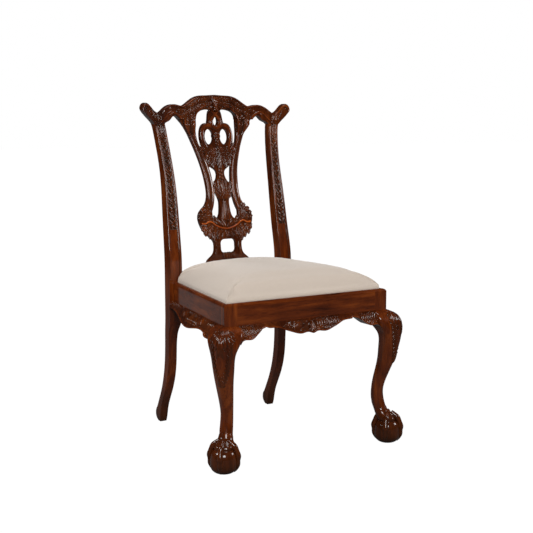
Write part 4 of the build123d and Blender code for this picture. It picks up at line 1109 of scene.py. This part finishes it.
FRONT_LEAVES = [
    (6, 388, 40, 372, 7, -3, 4), (10, 394, 64, 378, 8, 4, 5), (4, 380, 26, 367, 6, -2, 3),
    (36, 392, 92, 384, 6, 3, 5), (30, 384, 78, 374, 6, 3, 4),
]
BRACKET_LEAVES = [
    (224, 392, 192, 380, 7, 4, 4), (230, 386, 200, 370, 8, 4, 4), (228, 378, 206, 366, 6, 3, 3),
    (222, 396, 176, 390, 5, 2, 4),
]
SIDE_LEAVES = [
    (30, 392, 66, 380, 8, -4, 5), (26, 386, 62, 368, 9, -5, 5), (40, 374, 78, 362, 7, -3, 4),
    (50, 394, 92, 388, 5, -2, 4), (214, 392, 236, 362, 10, 3, 5), (206, 390, 214, 366, 8, 3, 4),
    (232, 394, 262, 370, 9, -3, 5), (196, 392, 188, 372, 6, 2, 3),
]
EDGE_BEAD = 2.1 * MM  # radius of the bead along the skirts' lower edges


def gadroons(shells, surface, start, end, count, lean, relief):
    """A row of upright flutes under the rail: leaves whose tips lean by the same amount."""
    places = np.linspace(start, end, count)
    table = [(place, 398.5, place + lean, 378, 4.4, lean * 0.15, 1) for place in places]
    leaves(shells, surface, table, relief * 1.6)


def edge_bead(shells, surface, edge, start, end, count, points):
    """A bead just above a measured lower edge."""
    run = np.linspace(start, end, count) * MM
    places = np.stack([run, edge(np.abs(run)) + 2.0 * MM], axis=1)
    line_tube(shells, surface, places, EDGE_BEAD, points, 0.5 * MM)


def shell_fan(shells, surface, centre, reach, start, end, flutes, inner, rows, relief):
    """A shell that hangs from a centre; its start and end are turns from straight down."""
    shape = fan(pairs(centre), reach * MM, math.pi + start, math.pi + end, flutes, inner, rows)
    applied(shells, surface, shape, relief)


class CHAIR_OT_carve_skirts(bpy.types.Operator):
    """Carves the shells, leaves, edge beads and scrolls under the seat rails"""

    bl_idname = "chair.carve_skirts"
    bl_label = "Carve the skirts"

    def execute(self, context):
        relief = settings("carving").shell_relief
        skirt = Skirt()
        front, side = skirt.on_front, skirt.on_side

        middle, half = Shells(), Shells()
        edge_bead(middle, front, skirt.front_low, -161, 161, 81, 260)
        leaves(half, front, FRONT_LEAVES, relief)
        shell_fan(half, front, (62, 400), 24, -1.15, 1.0, 8, 0.3, 14, relief)
        half.mirrored()
        gadroons(half, front, 22, 92, 10, -5, relief)
        shell_fan(half, front, (0, 398), 34, -0.5, 0.5, 5, 0.15, 18, relief * 1.5)
        half.carve("front_skirt_foliage")
        middle.carve("front_skirt_bead")

        bracket = Shells()
        edge_bead(bracket, front, skirt.front_low, 163, 224, 20, 70)
        scroll(bracket, front, (203, 368), 5.2, 1.25, -1.4)
        leaves(bracket, front, BRACKET_LEAVES, relief)
        gadroons(bracket, front, 176, 228, 9, -7, relief * 1.2)
        bracket.carve_pair("front_bracket_foliage")

        flank = Shells()
        edge_bead(flank, side, skirt.side_low, 62, 394, 84, 260)
        scroll(flank, side, (92, 365), 5.4, 1.25, -1.7, -1)
        leaves(flank, side, SIDE_LEAVES, relief)
        gadroons(flank, side, 28, 96, 11, 6, relief * 1.1)
        gadroons(flank, side, 190, 272, 12, -4, relief)
        shell_fan(flank, side, (298, 401), 26, -0.6, 0.8, 6, 0.3, 16, relief)
        shell_fan(flank, side, (150, 401), 24, -0.7, 0.7, 6, 0.3, 16, relief)
        flank.carve_pair("side_skirt_foliage")
        return {"FINISHED"}


KNEE_EDGE = [(6, 392), (26, 384), (33, 366), (33, 344), (29, 320), (23, 296), (16, 274), (8, 256), (0, 246)]
KNEE_LEAVES = [
    (2, 392, 16, 344, 7, -2, 4), (8, 392, 29, 352, 7, -3, 4), (12, 394, 42, 368, 7, -4, 4),
    (1, 372, 9, 322, 5, -1, 4),
]
RIDGE_LEAVES = [(0, 393, 0, 330, 6, 0, 5), (0, 268, 0, 240, 6, 0, 3)]
TENDON_TURNS = (-0.25, -0.62, 0.12, 0.75)  # headings of the tendons as shares of a half turn
TENDON_LINE = [(0, 168), (0, 150), (0, 132), (0, 114), (0, 95)]
TENDON_RADII = [0.3, 1.6, 2.6, 3.0, 1.2]
FOOT_SKIN = [
    (106, 16, 0), (99, 19.2, 0), (94, 20.3, 0.05), (89, 21.5, 0.22), (85, 23, 0.4), (80, 25.5, 0.6),
    (75, 27.5, 0.8), (70, 28, 0.9), (64, 25, 1), (58, 18, 1),
]
CLAW_PATH = [
    (11, 90), (20, 83), (29.5, 73.5), (36.5, 61), (40, 48), (39.8, 36), (38.2, 24), (34.5, 12), (29, 3),
]
CLAW_RADII = [6.0, 7.2, 8.6, 7.0, 8.3, 6.4, 7.4, 4.6, 1.6]


class CHAIR_OT_carve_legs(bpy.types.Operator):
    """Carves the leaves of the knees, the tendons, and the skin and claws over the balls"""

    bl_idname = "chair.carve_legs"
    bl_label = "Carve the front legs"

    def execute(self, context):
        relief = settings("carving").knee_relief
        leg = CabrioleLeg()
        shells = Shells()
        edge = smooth_line(KNEE_EDGE, 17)
        for side in (-1, 1):
            table = list(KNEE_LEAVES)
            for here, there in zip(edge[1:-1], edge[2:]):
                lean = (there - here) / np.linalg.norm(there - here)
                table.append((*(here - lean * 3 - [5.0, 0]), *(here + lean * 15 + [5.0, 0]), 7.4, -2.0, 3))
                table.append((*(here - [13, 2]), *(here + lean * 9 - [3, 0]), 5.0, -1.5, 2))
            table = [(side * a0, b0, side * a1, b1, width, side * bend, lobes)
                     for a0, b0, a1, b1, width, bend, lobes in table]
            leaves(shells, leg.on_leg, table, relief * 1.3)
        leaves(shells, leg.on_leg, RIDGE_LEAVES, relief)
        shell_fan(shells, leg.on_leg, (0, 402), 58, -0.95, 0.95, 9, 0.26, 24, relief)
        self.foot(shells, leg)
        for heading in TENDON_TURNS:

            def tendon(across, up, out, turn=heading * math.pi):
                return leg.on_leg(across, up, out, turn)

            line_tube(shells, tendon, pairs(TENDON_LINE), pairs(TENDON_RADII), 50, -0.6 * MM)
        shells.carve_pair("knee_foliage")
        return {"FINISHED"}

    def foot(self, shells, leg):
        """The skin between the claws: rings that widen downwards while their middle moves over the ball."""
        sole = crossing(node_triangles("front_leg_right"), 2, 4 * MM)[:, :2]
        ankle, ball = leg.middles[0], (sole.min(0) + sole.max(0)) / 2
        level, radius, share = (spread(column, 44)[:, None] for column in np.array(FOOT_SKIN).T)
        turn = np.linspace(0, math.tau, 72, endpoint=False)
        middle = ankle + (ball - ankle) * share
        reach = radius * MM * (1 - 0.05 * np.cos(4 * (turn + math.pi / 4))[None] * share)
        across, along = middle[:, :1] + reach * np.cos(turn), middle[:, 1:] + reach * np.sin(turn)
        shells.tube(np.stack(np.broadcast_arrays(across, along, level * MM), axis=-1), 0.25 * share)
        self.claws(shells, ball)

    def claws(self, shells, ball):
        """Four toes: circles carried down a line that bends over the ball, turned by quarters of a circle."""
        path = smooth_line(pairs(CLAW_PATH), 48)
        thick = smooth_line([(0, radius * MM) for radius in CLAW_RADII], 48)[:, 1:]
        turn = np.linspace(0, math.tau, 16, endpoint=False)
        square = squares(path)
        outwards = path[:, :1] + square[:, :1] * thick * np.sin(turn)
        heights = np.maximum(path[:, 1:] + square[:, 1:] * thick * np.sin(turn), 0.6 * MM)
        sideways = thick * np.cos(turn)
        for quarter in range(4):
            heading = (quarter + 0.5) * math.pi / 2
            x, y = math.cos(heading), math.sin(heading)
            across, along = outwards * x - sideways * y, outwards * y + sideways * x
            shells.tube(np.stack([ball[0] + across, ball[1] + along, heights], axis=-1), 0.1)


# Seat


OUTLINE_TURNS = 216
CORNER_TURNS = np.radians(np.linspace(-1.2, 1.2, 9))  # extra directions round each corner


class Outline:
    """A piece's outline in plan, as the farthest point of its section in each direction from a middle."""

    def __init__(self, node, level):
        low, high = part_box(node)
        self.middle = np.array([0.0, (low.y + high.y) / 2])
        section = crossing(node_triangles(node), 2, level)[:, :2] - self.middle
        turns = [np.linspace(0, math.tau, OUTLINE_TURNS, endpoint=False)]
        for across, along in ((1, 1), (1, -1), (-1, 1), (-1, -1)):
            corner = section[np.argmax(section @ (across, along))]
            turns.append((math.atan2(corner[1], corner[0]) + CORNER_TURNS) % math.tau)
        self.turns = np.sort(np.concatenate(turns))
        self.radii = ray_radii(node_triangles(node), level, self.middle, self.turns)

    def ring(self, share, height, inset=0.0):
        """One ring of points at a share of the outline's reach, less an inset, at a height."""
        reach = (self.radii - inset) * share
        across = self.middle[0] + reach * np.cos(self.turns)
        along = self.middle[1] + reach * np.sin(self.turns)
        return np.stack([across, along, np.broadcast_to(height, across.shape)], axis=1)

    def area(self):
        """Area inside the outline, as a sum of triangles from the middle."""
        points = self.ring(1.0, 0.0)[:, :2] - self.middle
        after = np.roll(points, -1, axis=0)
        return float(0.5 * np.abs((points[:, 0] * after[:, 1] - points[:, 1] * after[:, 0]).sum()))


CORNER_REACH = 60 * MM  # the sides are read this far from the front and the back
# Front, back and sides: reach of the steep part, its share of the height, and reach of the easy part.
CROWN_EDGES = [(16.0, 0.4, 200.0), (12.0, 0.66, 120.0), (15.0, 0.5, 180.0)]
SOFT_LEAST = 9.0
RIM_RISE = 14 * MM  # height over which the stuffing's swell grows from nothing


def edge_distances(places, outline):
    """Distance of each plan point from the seat's front, back and side edges, taken as straight lines."""
    points = outline.ring(1.0, 0.0)[:, :2]
    front, back = points[:, 1].min(), points[:, 1].max()
    near, far = (points[np.abs(points[:, 1] - level) < 12 * MM][:, 0].max()
                 for level in (front + CORNER_REACH, back - CORNER_REACH))
    lean = (near - far) / (back - front - 2 * CORNER_REACH)
    half = near - lean * (places[..., 1] - front - CORNER_REACH)
    side = (half - np.abs(places[..., 0])) / math.hypot(1, lean)
    return np.stack([places[..., 1] - front, back - places[..., 1], side])


def crown_height(places, outline, crown):
    """Height of the cushion over its rim.

    Each edge gives a slope that is steep near the edge and then easy, and the front one has a soft roll.
    The heights of all slopes are joined by a soft least, which leaves a faint ridge from each corner where
    two slopes meet."""
    distances = np.clip(edge_distances(places, outline), 0.2 * MM, None)
    steep, first, reach = np.array(CROWN_EDGES).T[..., None, None]
    easy = 1 - (1 - np.clip(distances / (reach * MM), 0, 1)) ** 2
    slopes = first * (1 - np.exp(-((distances / (steep * MM)) ** 0.9))) + (1 - first) * easy
    slopes[0] += 0.075 * (hill(distances[0], 25 * MM, 13 * MM) - hill(distances[0], 58 * MM, 24 * MM))
    least = (slopes ** -SOFT_LEAST).sum(0) ** (-1 / SOFT_LEAST) * 3 ** (1 / SOFT_LEAST)
    return crown * np.clip(least, 0, 1.1)


def vertex_places(mesh):
    """Places of a mesh's points."""
    places = np.empty(len(mesh.vertices) * 3)
    mesh.vertices.foreach_get("co", places)
    return places.reshape(-1, 3)


def fill_with_stuffing(piece, level, pressure, limit):
    """Cloth simulation: the points over a level swell under pressure while the others stay.

    No point goes past the limit, and the swell fades towards the rim."""
    mesh, scene = piece.data, bpy.context.scene
    start = vertex_places(mesh)
    free = start[:, 2] > level
    held = piece.vertex_groups.new(name="held")
    held.add([int(number) for number in np.flatnonzero(~free)], 1.0, "REPLACE")
    cloth = piece.modifiers.new("stuffing", "CLOTH")
    cloth.settings.vertex_group_mass = "held"
    cloth.settings.use_pressure = True
    cloth.settings.uniform_pressure_force = pressure
    cloth.settings.effector_weights.gravity = 0.0
    cloth.settings.tension_stiffness = cloth.settings.compression_stiffness = 30.0
    cloth.settings.bending_stiffness = 2.0
    cloth.collision_settings.use_collision = False
    for number in range(1, 21):
        scene.frame_set(number)
    seen = piece.evaluated_get(bpy.context.evaluated_depsgraph_get())
    moved = vertex_places(seen.data) - start
    far = np.linalg.norm(moved, axis=1)[:, None]
    moved *= np.minimum(1, limit * np.tanh(far / limit) / np.maximum(far, 1e-9))
    moved *= np.clip((start[:, 2] - start[free, 2].min()) / RIM_RISE, 0, 1)[:, None]
    piece.modifiers.clear()
    piece.vertex_groups.clear()
    scene.frame_set(1)
    mesh.vertices.foreach_set("co", (start + moved).ravel())
    mesh.update()


def thin_sheet(name, node, thick, wave, finish):
    """A flat sheet of cloth over a node's outline.

    Its height waves by a small sum of sines that fades to the rim, and it is closed with a thickness."""
    low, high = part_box(node)
    outline = Outline(node, (low.z + high.z) / 2)
    shares = np.linspace(0, 1, 30)[1:]
    rings = np.stack([outline.ring(share, high.z - 0.12 * MM) for share in shares])
    x, y = rings[..., 0], rings[..., 1]
    ripple = np.sin(x * 37.0 + 0.6) * np.sin(y * 29.0) + 0.5 * np.sin(x * 90 + y * 70)
    rings[..., 2] += wave * ripple * (1 - shares[:, None] ** 6)
    shells = Shells()
    shells.tube(np.concatenate([rings, rings[::-1] - [0, 0, thick]]))
    piece = shells.build(name, SEAT_BODY, finish, finish_of(finish), (node,))
    outline.area()


WEB_PITCH = (115 * MM, 105 * MM)  # from strap to strap, across the seat and from front to back
WEB_HALF_WIDTH = 25 * MM
WEB_THICKNESS = 0.8 * MM
WEB_WAVE = 0.42 * MM


class CHAIR_OT_upholster_seat(bpy.types.Operator):
    """Stuffs and covers the drop-in seat, and stretches its webbing, hessian and dust cover"""

    bl_idname = "chair.upholster_seat"
    bl_label = "Upholster the seat"

    def execute(self, context):
        self.cushion(settings("seat"))
        self.webbing()
        thin_sheet("hessian_sheet", "seat_hessian", 0.5 * MM, 0.03 * MM, "hessian")
        thin_sheet("dust_sheet", "dust_cover", 0.3 * MM, -0.1 * MM, "cambric")
        return {"FINISHED"}

    def cushion(self, look):
        """The stuffed cover: rings over the crown, down its sides, under the frame and up to the hessian."""
        cover_low, cover_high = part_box("seat_cover")
        frame_low, frame_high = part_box("seat_frame_front")
        hessian_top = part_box("seat_hessian")[1].z + 0.1 * MM
        outline = Outline("seat_cover", (cover_low.z + frame_high.z) / 2)
        rim = frame_high.z - 1 * MM
        top = np.stack([outline.ring(share, 0.0) for share in 1 - (1 - np.linspace(0.02, 1, 54)) ** 1.5])
        top[..., 2] = rim + crown_height(top[..., :2], outline, cover_high.z - rim)
        top[-1, :, 2] = rim + 1 * MM
        rows = [(1.0, height, 0.0) for height in np.linspace(rim - 1 * MM, cover_low.z + 1.2 * MM, 8)]
        rows += [(1.0, cover_low.z + 0.2 * MM, inset * MM) for inset in (0.8, 6, 14, 22, 30, 37)]
        rows += [(1.0, frame_low.z - 0.15 * MM, inset * MM) for inset in (37.4, 30, 20, 10, 2.2)]
        inner = np.linspace(frame_low.z + 1 * MM, hessian_top - 1 * MM, 6)
        rows += [(1.0, height, 1.25 * MM) for height in inner]
        rows += [(share, hessian_top, 2 * MM) for share in np.linspace(1, 0.02, 12)]
        shells = Shells()
        shells.tube(np.concatenate([top, [outline.ring(*row) for row in rows]]))
        linen = finish_of("cover")
        cushion = shells.build("seat_cushion", SEAT_BODY, "seat_fabric", linen, ("seat_cover", "seat_pad"))
        fill_with_stuffing(cushion, frame_high.z + 2 * MM, look.pressure, look.swell)
        soften = cushion.modifiers.new("soften", "SUBSURF")
        soften.levels = soften.render_levels = 1

    def webbing(self):
        """Straps that pass over and under each other: the height is a cosine of the place along the strap."""
        low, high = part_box("seat_webbing")
        middle, centre = (low.z + high.z) / 2, (low.y + high.y) / 2
        shells, lengths = Shells(), 0.0
        side = np.linspace(-WEB_HALF_WIDTH, WEB_HALF_WIDTH, 13)[None]
        for number in range(3):
            across, along = (number - 1) * WEB_PITCH[0], centre + (number - 1) * WEB_PITCH[1]
            reach = np.interp(along, (low.y, high.y), (high.x - 2 * MM, high.x - 56 * MM)) - 4 * MM
            lengthways = ([0, 1, 2], across, (low.y + 0.8 * MM, high.y - 0.8 * MM), WEB_PITCH[1], centre)
            crossways = ([1, 0, 2], along, (-reach, reach), WEB_PITCH[0], 0.0)
            wave = WEB_WAVE if number % 2 else -WEB_WAVE
            for order, fixed, span, step, first in (lengthways, crossways):
                run = np.linspace(*span, 160)[:, None]
                height = middle + wave * np.cos((run - first) / step * math.pi)
                places = np.stack(np.broadcast_arrays(side + fixed, run, height), axis=-1)[..., order]
                shells.slab(places + [0, 0, WEB_THICKNESS / 2], places - [0, 0, WEB_THICKNESS / 2])
                lengths += span[1] - span[0]
                wave = -wave
        piece = shells.build("webbing_straps", SEAT_BODY, "webbing", finish_of("webbing"), ("seat_webbing",))


# Stage


FRAME_SHIFT = (0.00924, 0.00867)
FLOOR_HALF = 30.0
# Each lamp's place, the height it looks at, its size, its share of the power, and whether polish mirrors it.
LAMPS = {
    "key_lamp": ((-3.0, 0.7, 2.3), 0.6, 0.7, 0.75, True),
    "front_lamp": ((-1.6, -3.2, 2.0), 0.7, 1.2, 1.4, True),
    "side_lamp": ((2.9, -1.6, 1.8), 0.6, 1.0, 0.6, True),
    "top_lamp": ((0.4, -0.4, 3.4), 0.5, 1.2, 0.4, True),
    "back_lamp": ((0.1, 3.3, 1.6), 0.6, 1.6, 0.9, False),
}


def looking(name, data, place, back):
    """A lamp or a camera at a place; back is the direction behind it."""
    holder = bpy.data.objects.new(name, data)
    bpy.context.scene.collection.objects.link(holder)
    holder.location = place
    holder.rotation_mode = "QUATERNION"
    holder.rotation_quaternion = (-back).to_track_quat("-Z", "Y")
    return holder


def white_world(strength):
    """White to the camera, and a gentler white to everything else."""
    world = Finish("studio", "worlds")
    room, shown = (world.node("ShaderNodeBackground", {}, {"Color": colour(WHITE), "Strength": power})
                   for power in (strength, 1.0))
    seen = world.node("ShaderNodeLightPath", {}, {}, "Is Camera Ray")
    mixed = world.node("ShaderNodeMixShader", {}, {0: seen, 1: room, 2: shown})
    bpy.context.scene.world = world.ended(mixed, "ShaderNodeOutputWorld")


def floor_finish():
    """Matt white that shows as pure white to the camera apart from the chair's shadow."""
    finish = Finish("studio_floor")
    matt = finish.node("ShaderNodeBsdfDiffuse", {}, {"Color": (0.14, 0.14, 0.14, 1.0)})
    glow = finish.node("ShaderNodeEmission", {}, {"Color": colour(WHITE), "Strength": 1.07})
    seen = finish.node("ShaderNodeLightPath", {}, {}, "Is Camera Ray")
    return finish.ended(finish.node("ShaderNodeMixShader", {}, {0: seen * 0.95, 1: matt, 2: glow}))


class CHAIR_OT_set_stage(bpy.types.Operator):
    """Makes the floor, the lamps, the white surroundings and the camera"""

    bl_idname = "chair.set_stage"
    bl_label = "Set the stage"

    def execute(self, context):
        look, scene = settings("stage"), context.scene
        scene.view_settings.view_transform = "Standard"
        mesh = bpy.data.meshes.new("floor")
        corners = [(x * FLOOR_HALF, y * FLOOR_HALF, 0) for x, y in ((-1, -1), (1, -1), (1, 1), (-1, 1))]
        mesh.from_pydata(corners, [], [(0, 1, 2, 3)])
        mesh.materials.append(floor_finish())
        ground = bpy.data.objects.new("floor", mesh)
        scene.collection.objects.link(ground)
        white_world(look.surround)
        for name, (place, aim, size, share, mirrored) in LAMPS.items():
            light = bpy.data.lights.new(name, "AREA")
            light.size, light.energy = size, look.lamp * share
            holder = looking(name, light, place, Vector(place) - Vector((0, 0, aim)))
            holder.visible_camera, holder.visible_glossy = False, mirrored
        turn, rise = look.azimuth, look.elevation
        back = Vector((math.sin(turn) * math.cos(rise), -math.cos(turn) * math.cos(rise), math.sin(rise)))
        view = bpy.data.cameras.new("photo_view")
        view.sensor_width, view.lens = 36.0, look.lens
        view.shift_x, view.shift_y = FRAME_SHIFT
        view.clip_start, view.clip_end = 0.05, 100.0
        scene.camera = looking("photo_view", view, Vector((0, 0, 0.5)) + back * look.distance, back)
        return {"FINISHED"}


# Panel and registration


class CHAIR_PT_maker(bpy.types.Panel):
    """Lists the settings and the steps of the chair"""

    bl_idname = "CHAIR_PT_maker"
    bl_label = "Carved side chair"
    bl_space_type = "VIEW_3D"
    bl_region_type = "UI"
    bl_category = "Chair"

    def draw(self, context):
        for group, kind, title in SETTINGS:
            box = self.layout.box()
            box.label(text=title)
            for key in kind.__annotations__:
                box.prop(settings(group), key)
        for step in STEPS:
            self.layout.operator(step.bl_idname)


STEPS = (
    CHAIR_OT_polish_frame,
    CHAIR_OT_carve_posts,
    CHAIR_OT_carve_splat,
    CHAIR_OT_carve_crest,
    CHAIR_OT_carve_skirts,
    CHAIR_OT_carve_legs,
    CHAIR_OT_upholster_seat,
    CHAIR_OT_set_stage,
)
CLASSES = (*[kind for _, kind, _ in SETTINGS], *STEPS, CHAIR_PT_maker)


def register():
    for item in CLASSES:
        bpy.utils.register_class(item)
    for group, kind, _ in SETTINGS:
        setattr(bpy.types.Scene, "chair_" + group, bpy.props.PointerProperty(type=kind))


def unregister():
    for group, _, _ in SETTINGS:
        delattr(bpy.types.Scene, "chair_" + group)
    for item in reversed(CLASSES):
        bpy.utils.unregister_class(item)


def main():
    register()
    for step in STEPS:
        group, name = step.bl_idname.split(".")
        getattr(getattr(bpy.ops, group), name)()


if __name__ == "__main__":
    main()
